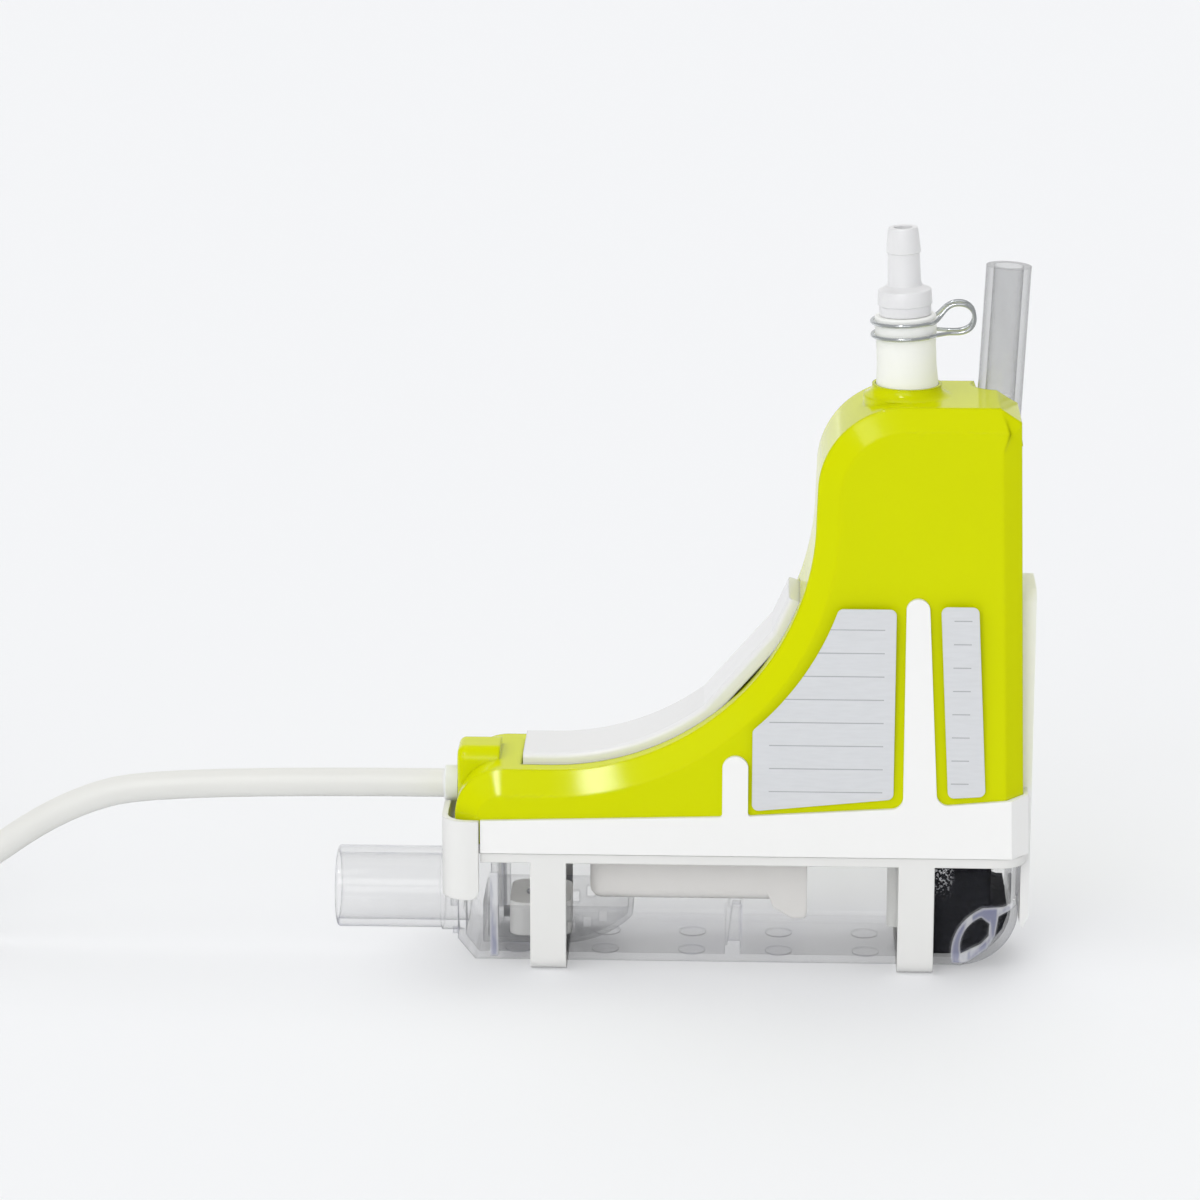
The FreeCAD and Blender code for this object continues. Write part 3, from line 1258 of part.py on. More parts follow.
def make_clip(grip, collar, lean):
    """Bright wire clip: two rings round the tube joined by two looped ears, bent from one wire."""
    low, high, top = (value(name) - collar for name in ("clip_low", "clip_high", "clip_ear_top"))
    mouth, split = value("clip_mouth_angle"), value("clip_split_angle")
    end = value("clip_ear_end - outlet_x")
    bend = (top - low) / 2

    def ring(level, first, last):
        """Points round the tube every twenty degrees or less."""
        steps = math.ceil(abs(last - first) / 20)
        turns = [math.radians(first + n * (last - first) / steps) for n in range(steps + 1)]
        return [(grip * math.cos(turn), grip * math.sin(turn), level) for turn in turns]

    def ear(y):
        """Looped ear, from its top run to its bottom run."""
        side = math.copysign(1, y)
        return [(grip + 0.5, y + side * 0.6, high + 1.2), (grip + 1.9, y, top - 0.5), (end - bend, y, top),
                (end - bend * 0.29, y, top - bend * 0.29), (end, y, low + bend),
                (end - bend * 0.29, y, low + bend * 0.29), (end - bend, y, low), (grip + 1.9, y, low),
                (grip + 0.5, y + side * 0.6, low)]

    far, near = ear(value("clip_ear_y")), ear(-value("clip_ear_y"))
    points = ring(high, -split, mouth - FULL_TURN) + far + ring(low, mouth, FULL_TURN - mouth)
    points += near[::-1] + ring(high, -mouth, value("clip_cut_angle") - split)
    path = Part.BSplineCurve()
    path.interpolate([FreeCAD.Vector(*p) for p in points])
    section = Part.Circle(path.value(path.FirstParameter), path.tangent(path.FirstParameter)[0],
                          value("clip_wire") / 2)
    clip = doc.addObject("Part::Feature", "clip_bent")
    clip.Shape = Part.Wire(path.toShape()).makePipeShell([Part.Wire(section.toShape())], True, True)
    clip.Placement = FreeCAD.Placement(FreeCAD.Vector(value("outlet_x"), 0, collar), FreeCAD.Rotation(*lean))
    keep(clip, "hose_clip")


def make_breather():
    """Clear breather tube on its spigot, and the vent hose down to the chassis, all on one leaning axis."""
    def leaning(name, corners):
        tilt = (FreeCAD.Vector(0, 1, 0), value("breather_lean"))
        return keep(turned(name + "_turned", corners, "breather_x", "breather_y", NICHE_FLOOR, tilt), name)

    bore, stub = "breather_bore / 2", "vent_spigot_radius"
    leaning("breather_tube", tube_corners(bore, f"{bore} + breather_wall", "body_gap",
                                          f"breather_top - {NICHE_FLOOR}"))
    leaning("breather_spigot", [
        (f"{stub} - 0.5", "-niche_depth * 0.9"), (stub, "-niche_depth * 0.9"), (stub, "-2 * niche_wall"),
        ("spigot_root_radius", "-2 * niche_wall"), ("spigot_root_radius", "2 * fit_gap"),
        (f"{bore} - fit_gap", "2 * fit_gap"), (f"{bore} - fit_gap", "niche_depth * 0.5"),
        (f"{bore} - 0.8", "niche_depth * 0.7"), (f"{stub} - 0.5", "niche_depth * 0.7"),
    ])
    low = f"({DECK} - flange_thick / 2 - {NICHE_FLOOR}) / cos(breather_lean{DEGREE})"
    leaning("vent_hose", tube_corners(f"{stub} + fit_gap", f"{stub} + vent_hose_wall + fit_gap", low,
                                      "-2 * niche_wall - 2 * fit_gap"))


def make_electronics():
    """Control board with its parts, screws, and the sensor over the float."""
    board = box("board_blank", (f"-{BOARD_FRONT}", "-board_half", "board_level"),
                ("board_back_x", "board_half", "board_level + board_thick"))
    drilled = [rod(f"board_hole_{n}", "screw_diameter / 2 + fit_gap", "2 * board_thick", x, y,
                   "board_level - board_thick / 2") for n, (x, y) in enumerate(SCREW_PLACES)]
    keep(cut("board_cut", board, *drilled), "circuit_board")
    top = "(board_level + board_thick)"
    screws = []
    for n, (x, y) in enumerate(SCREW_PLACES):
        head = rod(f"screw_head_{n}", "screw_diameter * 0.9", "screw_diameter * 0.6", x, y, top)
        shank = rod(f"screw_shank_{n}", "screw_diameter / 2", "board_thick + screw_diameter", x, y,
                    f"{top} - board_thick - screw_diameter * 0.5")
        screws.append(fuse(f"board_screw_{n}", head, shank))
    group = doc.addObject("Part::Compound", "board_screw_group")
    group.Links = screws
    keep(group, "board_screws")
    can = rod("capacitor_can", "capacitor_diameter / 2", "capacitor_height", "-capacitor_x", "0",
              f"{top} + fit_gap")
    keep(can, "board_capacitor")
    relay = box("relay_box", ("-capacitor_x + capacitor_diameter", "-relay_width / 2", f"{top} + fit_gap"),
                ("-capacitor_x + capacitor_diameter + relay_length", "relay_width / 2",
                 f"{top} + fit_gap + relay_height"))
    keep(relay, "alarm_relay")
    sensor = box("sensor_chip", ("-float_x - 2", "-2", f"{DECK} + fit_gap"),
                 ("-float_x + 2", "2", "board_level - fit_gap"))
    keep(sensor, "float_sensor")


def make_gland():
    """Grommet that holds the cord in the boss; its axis is the cord's."""
    cord = "cord_diameter / 2"
    lip, lock = "(gland_mouth_x - nose_x - fit_gap)", "(gland_mouth_x - gland_lock_x)"
    gland = turned("gland_turned", [
        ("0", "0"), ("gland_radius - 0.4", "0", "0.4"), ("gland_radius", "0.4"),
        ("gland_radius", lip), (f"{cord} + fit_gap", lip), (f"{cord} + fit_gap", lock),
        ("gland_lock_radius", lock), ("gland_lock_radius", f"{lock} + housing_wall"),
        (f"{cord} + fit_gap", "gland_mouth_x - gland_tail_x"), ("0", "gland_mouth_x - gland_tail_x"),
    ], x="-gland_mouth_x", z="cable_height", tilt=(FreeCAD.Vector(0, 1, 0), 90))
    keep(gland, "cable_gland")


def cord_wire(route):
    """Straight runs joined by tangent arcs, and their total length."""
    points = [FreeCAD.Vector(x, 0, z) for x, z in route]
    edges, here = [], points[0]
    for before, corner, after in zip(points, points[1:], points[2:]):
        way_in, way_out = (corner - before), (after - corner)
        turn = way_in.getAngle(way_out)
        short = min(way_in.Length, way_out.Length)
        radius = 0.45 * short / math.tan(turn / 2)
        print(f"cord arc radius {radius:.1f} mm at x {corner.x:.0f}")
        back, ahead = way_in.normalize() * (0.45 * short), way_out.normalize() * (0.45 * short)
        start, end = corner - back, corner + ahead
        bisector = (start + end) / 2 - corner
        depth = radius / math.cos(turn / 2) - radius
        middle = corner + bisector.normalize() * depth
        edges += [Part.LineSegment(here, start).toShape(), Part.Arc(start, middle, end).toShape()]
        here = end
    edges.append(Part.LineSegment(here, points[-1]).toShape())
    wire = Part.Wire(edges)
    return wire, wire.Length


def racetrack(radius, low, high):
    """Block with two round ends that fills one loop of the hank out to a radius."""
    near = HANK_FOLD - radius
    block = Part.makeBox(HANK_RUN, 2 * radius, high - low,
                         FreeCAD.Vector(HANK_END_X - HANK_RUN, near, low))
    ends = [Part.makeCylinder(radius, high - low, FreeCAD.Vector(x, HANK_FOLD, low))
            for x in (HANK_END_X, HANK_END_X - HANK_RUN)]
    return block.fuse(ends).removeSplitter()


def make_cord():
    """Round mains and alarm cord, as far as the hank."""
    radius = value("cord_diameter") / 2
    wire, length = cord_wire(CORD_ROUTE)
    ring = Part.Wire(Part.Circle(FreeCAD.Vector(*[CORD_ROUTE[0][0], 0, CORD_ROUTE[0][1]]),
                                 FreeCAD.Vector(1, 0, 0), radius).toShape())
    tube = doc.addObject("Part::Feature", "cord_tube")
    tube.Shape = wire.makePipeShell([ring], True, False)
    swept = math.pi * radius ** 2 * length
    print(f"cord tube {length:.1f} mm, volume {tube.Shape.Volume:.0f} of {swept:.0f}")
    keep(tube, "cord_run")
    loop = 2 * HANK_RUN + 2 * math.pi * HANK_FOLD
    last = HANK_RUN + math.pi * HANK_FOLD + (TAIL_X + TAIL_STUB - (HANK_END_X - HANK_RUN))
    length += CORD_ROUTE[-1][0] - HANK_END_X + (HANK_LAYERS - 1) * loop + last
    print(f"cord length {length:.0f} mm")


def make_hank():
    """Loops that the cord is put away in, as one solid, and the tie round them."""
    radius = value("cord_diameter") / 2
    inset = value("fit_gap")
    top = HANK_LEVEL + (HANK_LAYERS - 1) * HANK_PITCH + radius
    low = HANK_LEVEL - radius + inset
    far = 2 * HANK_FOLD
    loops = racetrack(HANK_FOLD + radius - 2 * inset, low, top - inset)
    loops = loops.cut(racetrack(HANK_FOLD - radius, low - 1, top + 1))
    first = Part.makeBox(far, HANK_FOLD + radius, HANK_PITCH + 1,
                         FreeCAD.Vector(HANK_END_X, -radius, HANK_LEVEL + radius + inset - HANK_PITCH - 1))
    last = Part.makeBox(far - TAIL_X, far, HANK_PITCH + 1,
                        FreeCAD.Vector(TAIL_X, HANK_FOLD, top - HANK_PITCH))
    loops = loops.cut([first, last])
    along = FreeCAD.Vector(1, 0, 0)
    lead_in = Part.makeCylinder(radius, CORD_ROUTE[-1][0] - HANK_END_X + 2,
                                FreeCAD.Vector(HANK_END_X - 2, 0, HANK_LEVEL), along)
    tail = Part.makeCylinder(radius, 2 + TAIL_STUB, FreeCAD.Vector(TAIL_X - 2, far, top - radius), along)
    hank = doc.addObject("Part::Feature", "hank_loops")
    hank.Shape = loops.fuse([lead_in, tail]).removeSplitter()
    keep(hank, "cord_hank")
    start = FreeCAD.Vector(TIE_X - TIE_WIDTH / 2, -radius - TIE_ROOM - TIE_WALL, inset / 10)
    width = far + 2 * (radius + TIE_ROOM)
    rise = top + inset - start.z - TIE_WALL
    outer = Part.makeBox(TIE_WIDTH, width + 2 * TIE_WALL, rise + 2 * TIE_WALL, start)
    inner = Part.makeBox(TIE_WIDTH, width, rise, start + FreeCAD.Vector(0, TIE_WALL, TIE_WALL))
    tie = doc.addObject("Part::Feature", "hank_tie")
    tie.Shape = outer.cut(inner)
    keep(tie, "cord_tie")
    make_cores(FreeCAD.Vector(TAIL_X + TAIL_STUB, far, top - radius), top - HANK_PITCH)


def make_cores(end, bed):
    """Four bare cores that fan out of the cord's end and lie along the loop under it."""
    core = value("core_diameter") / 2
    block = 2 * value("cord_diameter")
    before = Part.makeBox(block, block, block, end - FreeCAD.Vector(block, block / 2, block / 2))
    for name, (side, rise, bends) in CORE_BENDS.items():
        start = end + FreeCAD.Vector(0, side * CORE_SPREAD, rise * CORE_SPREAD)
        knee, tip = (FreeCAD.Vector(end.x + x, end.y + y, bed + core + 0.05) for x, y in bends)
        thread = doc.addObject("Part::Feature", "core_" + name)
        first = Part.makeCylinder(core, (knee - start).Length, start, knee - start)
        second = Part.makeCylinder(core, (tip - knee).Length, knee, tip - knee)
        shape = first.fuse([second, Part.makeSphere(core, knee)])
        thread.Shape = shape.cut(before)
        keep(thread, "cord_core_" + name)


def export_parts():
    """Check every object, then write one STEP file for each sub-part."""
    doc.recompute()
    for thing in doc.Objects:
        if "Invalid" in thing.State or "Error" in thing.State:
            raise RuntimeError(f"{thing.Name} failed: {thing.State}")
    for node in nodes:
        if node.Shape.isNull() or not node.Shape.isValid() or not node.Shape.Solids:
            raise RuntimeError(f"{node.Label} has no valid solid")
    os.makedirs("parts", exist_ok=True)
    for node in nodes:
        node.Shape.exportStep(f"parts/{node.Label}.step")
    print(f"{len(nodes)} sub-parts written")


make_housing()
make_cover()
make_chassis()
make_skirt()
make_reservoir()
make_gasket()
make_foam()
make_float_cage()
make_float()
make_cradle()
make_latch()
make_labels()
make_pump()
make_solenoid()
make_outlet()
make_breather()
make_electronics()
make_gland()
make_cord()
make_hank()
export_parts()
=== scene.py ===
"""Finishes, cord and studio for a mini condensate pump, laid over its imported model.

Every length is in metres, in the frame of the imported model: X runs along the pump from the inlet
pipe to the back tongue, Y across it and Z up. Colours are as seen, each channel from 0 to 255.
"""

import logging
import math
from dataclasses import dataclass
from enum import Enum
from typing import Any, ClassVar, Optional, Sequence, Union

import bmesh
import bpy
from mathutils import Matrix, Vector, noise


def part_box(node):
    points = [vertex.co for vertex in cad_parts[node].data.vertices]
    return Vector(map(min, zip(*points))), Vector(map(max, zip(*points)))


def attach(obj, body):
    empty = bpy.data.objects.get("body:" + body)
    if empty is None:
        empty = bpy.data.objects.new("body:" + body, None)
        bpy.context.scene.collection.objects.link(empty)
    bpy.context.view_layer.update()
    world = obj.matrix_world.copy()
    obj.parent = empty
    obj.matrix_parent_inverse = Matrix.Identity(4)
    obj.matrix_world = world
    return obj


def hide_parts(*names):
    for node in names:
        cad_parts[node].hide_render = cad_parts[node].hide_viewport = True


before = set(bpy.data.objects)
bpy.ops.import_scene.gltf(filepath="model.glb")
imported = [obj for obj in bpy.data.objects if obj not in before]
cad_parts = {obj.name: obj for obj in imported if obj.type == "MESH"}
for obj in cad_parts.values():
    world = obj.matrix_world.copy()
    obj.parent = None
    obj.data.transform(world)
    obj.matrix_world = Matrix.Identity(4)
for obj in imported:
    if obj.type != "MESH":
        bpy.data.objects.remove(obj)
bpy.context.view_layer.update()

log = logging.getLogger("condensate_pump")

MM = 0.001
FULL_LEVEL = 255
SRGB_KNEE, SRGB_SLOPE = 0.04045, 12.92
SRGB_OFFSET, SRGB_POWER = 0.055, 2.4
WHITE_LIGHT = (1, 1, 1, 1)

Colour = tuple[float, float, float]
Point = tuple[float, float, float]
Span = tuple[float, float]


def linear(colour: Colour) -> tuple[float, float, float, float]:
    """Turn a colour as it is seen into the light values that a shader takes.

    Args:
        colour: Red, green and blue, each from 0 to 255.

    Returns:
        Linear red, green, blue and an alpha of 1.
    """

    def channel(level: float) -> float:
        """One channel's light value."""
        level /= FULL_LEVEL
        if level <= SRGB_KNEE:
            return level / SRGB_SLOPE
        return ((level + SRGB_OFFSET) / (1 + SRGB_OFFSET)) ** SRGB_POWER

    return (*(channel(level) for level in colour), 1.0)


def shaded(colour: Colour, share: float) -> Colour:
    """Each channel of a colour times a share."""
    return tuple(level * share for level in colour)


class Wire:
    """One output of a shader node; sums and products with it add Math nodes."""

    def __init__(self, recipe: "Recipe", socket: Optional[bpy.types.NodeSocket]) -> None:
        """Wrap a socket of a recipe's node tree."""
        self.recipe = recipe
        self.socket = socket

    def maths(self, operation: str, *values: "Value") -> "Wire":
        """Add one Math node.

        Args:
            operation: Name of the Math node's operation.
            *values: Its inputs in order, wires or plain numbers.

        Returns:
            The node's output.
        """
        return self.recipe.add("ShaderNodeMath", {"operation": operation}, dict(enumerate(values)))

    def __add__(self, other: "Value") -> "Wire":
        """Sum."""
        return self.maths("ADD", self, other)

    def __radd__(self, other: "Value") -> "Wire":
        """Sum with a number in front."""
        return self.maths("ADD", other, self)

    def __sub__(self, other: "Value") -> "Wire":
        """Difference."""
        return self.maths("SUBTRACT", self, other)

    def __rsub__(self, other: "Value") -> "Wire":
        """Difference from a number."""
        return self.maths("SUBTRACT", other, self)

    def __mul__(self, other: "Value") -> "Wire":
        """Product."""
        return self.maths("MULTIPLY", self, other)

    def __rmul__(self, other: "Value") -> "Wire":
        """Product with a number in front."""
        return self.maths("MULTIPLY", other, self)

    def __pow__(self, other: "Value") -> "Wire":
        """Power."""
        return self.maths("POWER", self, other)

    def __gt__(self, other: "Value") -> "Wire":
        """One where this value is above the other, else zero."""
        return self.maths("GREATER_THAN", self, other)

    def __lt__(self, other: "Value") -> "Wire":
        """One where this value is below the other, else zero."""
        return self.maths("LESS_THAN", self, other)

    def __abs__(self) -> "Wire":
        """Size without its sign."""
        return self.maths("ABSOLUTE", self)

    def __mod__(self, other: "Value") -> "Wire":
        """Rest after whole steps, never negative."""
        return self.maths("FLOORED_MODULO", self, other)

    def sine(self) -> "Wire":
        """Sine of an angle in radians."""
        return self.maths("SINE", self)

    def larger(self, other: "Wire") -> "Wire":
        """The larger of two values."""
        return self.maths("MAXIMUM", self, other)

    def rise(self, low: float, high: float) -> "Wire":
        """Go smoothly from zero at low to one at high.

        Args:
            low: Value that gives zero.
            high: Value that gives one.

        Returns:
            The smoothed step.
        """
        return self.recipe.add("ShaderNodeMapRange", {"interpolation_type": "SMOOTHSTEP"},
                               {"Value": self, "From Min": low, "From Max": high})


Value = Union[Wire, float, Sequence[float]]
Inputs = dict[Union[str, int], Value]


class Recipe:
    """A material's node tree, written as expressions."""

    BEVEL_SAMPLES = 4

    def __init__(self, name: str, tree: Optional[bpy.types.NodeTree] = None) -> None:
        """Start an empty material of that name, or write in another tree."""
        if tree is None:
            self.material = bpy.data.materials.new(name)
            self.material.use_nodes = True
            tree = self.material.node_tree
        self.tree = tree
        self.tree.nodes.clear()

    def add(
        self,
        kind: str,
        settings: Optional[dict[str, Any]] = None,
        inputs: Optional[Inputs] = None,
        output: Union[str, int] = 0,
    ) -> Wire:
        """Add any node.

        Args:
            kind: The node's type name.
            settings: Its properties, set first.
            inputs: Values or wires for its sockets, by name or number.
            output: Which of its outputs to give back.

        Returns:
            The chosen output, or an empty wire for a node that closes the tree.
        """
        node = self.tree.nodes.new(kind)
        for name, setting in (settings or {}).items():
            setattr(node, name, setting)
        for key, given in (inputs or {}).items():
            if isinstance(given, Wire):
                self.tree.links.new(given.socket, node.inputs[key])
            else:
                node.inputs[key].default_value = given
        return Wire(self, node.outputs[output] if node.outputs else None)

    def place(self) -> Wire:
        """Point on the object, in metres."""
        return self.add("ShaderNodeTexCoord", output="Object")

    def axes(self) -> tuple[Wire, Wire, Wire]:
        """The point's X, Y and Z as three values."""
        split = self.add("ShaderNodeSeparateXYZ", inputs={0: self.place()})
        return tuple(Wire(self, split.socket.node.outputs[index]) for index in range(3))

    def noise(self, size: float, detail: float, stretch: Point = (1.0, 1.0, 1.0)) -> Wire:
        """Cloudy noise from 0 to 1.

        Args:
            size: Length of one cloud in metres.
            detail: How many finer layers it has.
            stretch: How many times longer the clouds are along each axis.

        Returns:
            The noise value.
        """
        scaled = self.add("ShaderNodeVectorMath", {"operation": "DIVIDE"}, {0: self.place(), 1: stretch})
        return self.add("ShaderNodeTexNoise", inputs={"Vector": scaled, "Scale": 1 / size, "Detail": detail})

    def cells(self, size: float) -> Wire:
        """Distance to the nearest of many scattered points, as in foam."""
        return self.add("ShaderNodeTexVoronoi", inputs={"Vector": self.place(), "Scale": 1 / size},
                        output="Distance")

    def mix(self, factor: Value, first: Value, second: Value) -> Wire:
        """Go from the first colour to the second as the factor goes from 0 to 1."""
        return self.add("ShaderNodeMix", {"data_type": "RGBA"}, {0: factor, 6: first, 7: second}, 2)

    def blend(self, factor: Value, first: Wire, second: Wire) -> Wire:
        """Go from the first shader to the second as the factor goes from 0 to 1."""
        return self.add("ShaderNodeMixShader", inputs={0: factor, 1: first, 2: second})

    def ray(self, kind: str) -> Wire:
        """One for rays of that kind, such as those from the eye."""
        return self.add("ShaderNodeLightPath", output=kind)

    def rim(self, power: float) -> Wire:
        """Nought where the surface faces the eye, one where it turns away."""
        return self.add("ShaderNodeLayerWeight", inputs={"Blend": 0.5}, output="Facing") ** power

    def crease(self, radius: float) -> Wire:
        """Surface direction with the sharp edges eased over a radius."""
        return self.add("ShaderNodeBevel", {"samples": self.BEVEL_SAMPLES}, {"Radius": radius})

    def corner(self, eased: Wire, span: Span) -> Wire:
        """One at the sharp edges, where the eased direction parts from the true one."""
        true = self.add("ShaderNodeNewGeometry", output="Normal")
        agreement = self.add("ShaderNodeVectorMath", {"operation": "DOT_PRODUCT"}, {0: eased, 1: true},
                             "Value")
        return (1 - agreement).rise(*span)

    def bump(self, height: Wire, depth: float, normal: Optional[Wire] = None) -> Wire:
        """Surface direction over small hills.

        Args:
            height: Height from 0 to 1.
            depth: How high the hills are, in metres.
            normal: Direction of the surface under them.

        Returns:
            The tilted direction.
        """
        inputs: Inputs = {"Height": height, "Distance": depth, "Strength": 1.0}
        if normal is not None:
            inputs["Normal"] = normal
        return self.add("ShaderNodeBump", inputs=inputs)

    def close(self, surface: Wire) -> bpy.types.Material:
        """Close the tree with a shader and give back the material."""
        self.add("ShaderNodeOutputMaterial", inputs={"Surface": surface})
        return self.material

    def finish(self, inputs: Inputs) -> bpy.types.Material:
        """Close the tree with one Principled shader.

        Args:
            inputs: Values or wires for its sockets.

        Returns:
            The finished material.
        """
        return self.close(self.add("ShaderNodeBsdfPrincipled", inputs=inputs))


@dataclass(frozen=True)
class Moulding:
    """Opaque moulded plastic or rubber.

    Attributes:
        name: The material's name.
        colour: Its colour as seen.
        roughness: Mean roughness of its skin.
        grain: Size of the grain.
        grain_depth: Height of the grain.
        mottle: Share of the colour that its clouds take away.
        crease: Radius that sharp edges are eased over.
        shine: Strength of its gloss, 0.5 being plain plastic.
        subsurface: How far light gets into it.
    """

    name: str
    colour: Colour
    roughness: float
    grain: float
    grain_depth: float
    mottle: float
    crease: float
    shine: float = 0.5
    subsurface: float = 0.0

    CLOUD_SIZE: ClassVar[float] = 0.018
    CLOUD_DETAIL: ClassVar[int] = 2
    GRAIN_DETAIL: ClassVar[int] = 4
    LEAST_ROUGH: ClassVar[float] = 0.9
    ROUGH_SWING: ClassVar[float] = 0.2
    LIGHT_REACH: ClassVar[Point] = (0.002, 0.002, 0.002)
    REACH_SCALE: ClassVar[float] = 0.5

    def make(self) -> bpy.types.Material:
        """Build the material."""
        recipe = Recipe(self.name)
        clouds = recipe.noise(self.CLOUD_SIZE, self.CLOUD_DETAIL)
        fine = recipe.noise(self.grain, self.GRAIN_DETAIL)
        darker = shaded(self.colour, 1 - self.mottle)
        inputs: Inputs = {
            "Base Color": recipe.mix(clouds, linear(self.colour), linear(darker)),
            "Roughness": self.roughness * (self.LEAST_ROUGH + self.ROUGH_SWING * fine),
            "Normal": recipe.bump(fine, self.grain_depth, recipe.crease(self.crease)),
            "Specular IOR Level": self.shine,
        }
        if self.subsurface:
            inputs.update({"Subsurface Weight": self.subsurface, "Subsurface Radius": self.LIGHT_REACH,
                           "Subsurface Scale": self.REACH_SCALE})
        return recipe.finish(inputs)


@dataclass(frozen=True)
class ClearPlastic:
    """See-through plastic: thin faces, walls and edges that carry painted light, ribs with painted
    shade and highlight, and a mirrored gloss.

    Attributes:
        name: The material's name.
        veil: Colour of its thin faces.
        edge: Colour of a wall seen along its length, and of the corners. Besides the plastic's own tint
        it holds painted light: pale on the tank as a painted highlight, dark on the breather as
        painted shade.
        face_alpha: How much a face hides.
        edge_alpha: How much an edge hides.
        edge_power: How narrow the dense rim of a turning wall is.
        edge_width: Radius that sharp edges are eased over.
        tint_share: How far the edges take on the tint in places.
        proud_from: Distance from the middle plane beyond which ribs stand proud. A metre leaves
            them out.
    """

    name: str
    veil: Colour
    edge: Colour
    face_alpha: float
    edge_alpha: float
    edge_power: float = 6.0
    edge_width: float = 0.0007
    tint_share: float = 0.5
    proud_from: float = 1.0

    ROUGHNESS: ClassVar[float] = 0.1
    INDEX: ClassVar[float] = 1.49
    FLOW_SIZE: ClassVar[float] = 0.004
    FLOW_STREAK: ClassVar[Point] = (1.0, 1.0, 5.0)
    RIPPLE: ClassVar[float] = 0.00001
    CORNER: ClassVar[Span] = (0.005, 0.12)
    # Share of the edge colour that sharp corners take as painted light.
    CORNER_PAINTED_LIGHT_SHARE: ClassVar[float] = 0.35
    TINT: ClassVar[Colour] = (150, 150, 204)
    TINT_SIZE: ClassVar[float] = 0.007
    TINTED: ClassVar[Span] = (0.5, 0.62)
    EDGE_COLOURED: ClassVar[Span] = (0.0, 0.3)
    PROUD: ClassVar[Span] = (0.0, 0.0002)
    PROUD_SHARE: ClassVar[float] = 0.9
    # Rib colours are painted light: shade in the middle of each rib, a highlight along its edges.
    RIB_PAINTED_SHADE: ClassVar[Colour] = (150, 153, 182)
    RIB_PAINTED_HIGHLIGHT: ClassVar[Colour] = (248, 248, 250)
    RIB_CLOUD: ClassVar[float] = 0.0022
    RIB_PALE: ClassVar[Span] = (0.42, 0.6)
    LEAST_ALPHA: ClassVar[float] = 0.7
    ALPHA_SWING: ClassVar[float] = 0.6
    GLOSS: ClassVar[float] = 0.02
    RIM_GLOSS: ClassVar[float] = 0.6
    RIM_GLOSS_POWER: ClassVar[float] = 5.0

    def make(self) -> bpy.types.Material:
        """Build the material. Shadow rays and diffuse rays pass through it."""
        recipe = Recipe(self.name)
        flow = recipe.noise(self.FLOW_SIZE, 2, self.FLOW_STREAK)
        eased = recipe.crease(self.edge_width)
        corner = recipe.corner(eased, self.CORNER)
        _, y, _ = recipe.axes()
        proud = (abs(y) - self.proud_from).rise(*self.PROUD) * self.PROUD_SHARE
        # Sharp corners take the edge colour and grow more opaque: painted light, a highlight on the tank and
        # shade on the breather.
        dense_and_painted_light = recipe.rim(self.edge_power).larger(corner * self.CORNER_PAINTED_LIGHT_SHARE).larger(proud)
        thin = self.face_alpha * (self.LEAST_ALPHA + self.ALPHA_SWING * flow)
        normal = recipe.bump(flow, self.RIPPLE, eased)
        body = recipe.add("ShaderNodeBsdfPrincipled", inputs={
            "Base Color": self._colour(recipe, corner, proud, dense_and_painted_light),
            "Alpha": thin + (self.edge_alpha - self.face_alpha) * dense_and_painted_light,
            "Roughness": self.ROUGHNESS, "Normal": normal, "IOR": self.INDEX,
        })
        shine = recipe.add("ShaderNodeBsdfPrincipled", inputs={
            "Base Color": WHITE_LIGHT, "Metallic": 1.0, "Roughness": self.ROUGHNESS, "Normal": normal,
        })
        surface = recipe.blend(self.GLOSS + self.RIM_GLOSS * recipe.rim(self.RIM_GLOSS_POWER), body, shine)
        unseen = recipe.ray("Is Shadow Ray").larger(recipe.ray("Is Diffuse Ray"))
        return recipe.close(recipe.blend(unseen, surface, recipe.add("ShaderNodeBsdfTransparent")))

    def _colour(self, recipe: Recipe, corner: Wire, proud: Wire, dense_and_painted_light: Wire) -> Wire:
        """Mix the faces' veil, the tinted edges and the ribs with their painted shade and highlight.

        Args:
            recipe: The material being built.
            corner: One at the sharp edges, which take the edge colour as painted light.
            proud: How far the point belongs to a rib.
            dense_and_painted_light: How much plastic the eye looks through, raised at the sharp
            corners and on the ribs for painted light.

        Returns:
            The colour.
        """
        tinted = recipe.noise(self.TINT_SIZE, 1).rise(*self.TINTED) * self.tint_share
        edge = recipe.mix(tinted, linear(self.edge), linear(self.TINT))
        colour = recipe.mix(dense_and_painted_light.rise(*self.EDGE_COLOURED), linear(self.veil), edge)
        # The ribs are painted as rounded clear tubes: painted shade in the middle, painted highlight at the
        # corners, with random paler streaks.
        pale = recipe.noise(self.RIB_CLOUD, 2, self.FLOW_STREAK).rise(*self.RIB_PALE)
        rib = recipe.mix(pale, linear(self.RIB_PAINTED_SHADE), linear(self.edge))
        return recipe.mix(proud, colour, recipe.mix(corner, rib, linear(self.RIB_PAINTED_HIGHLIGHT)))


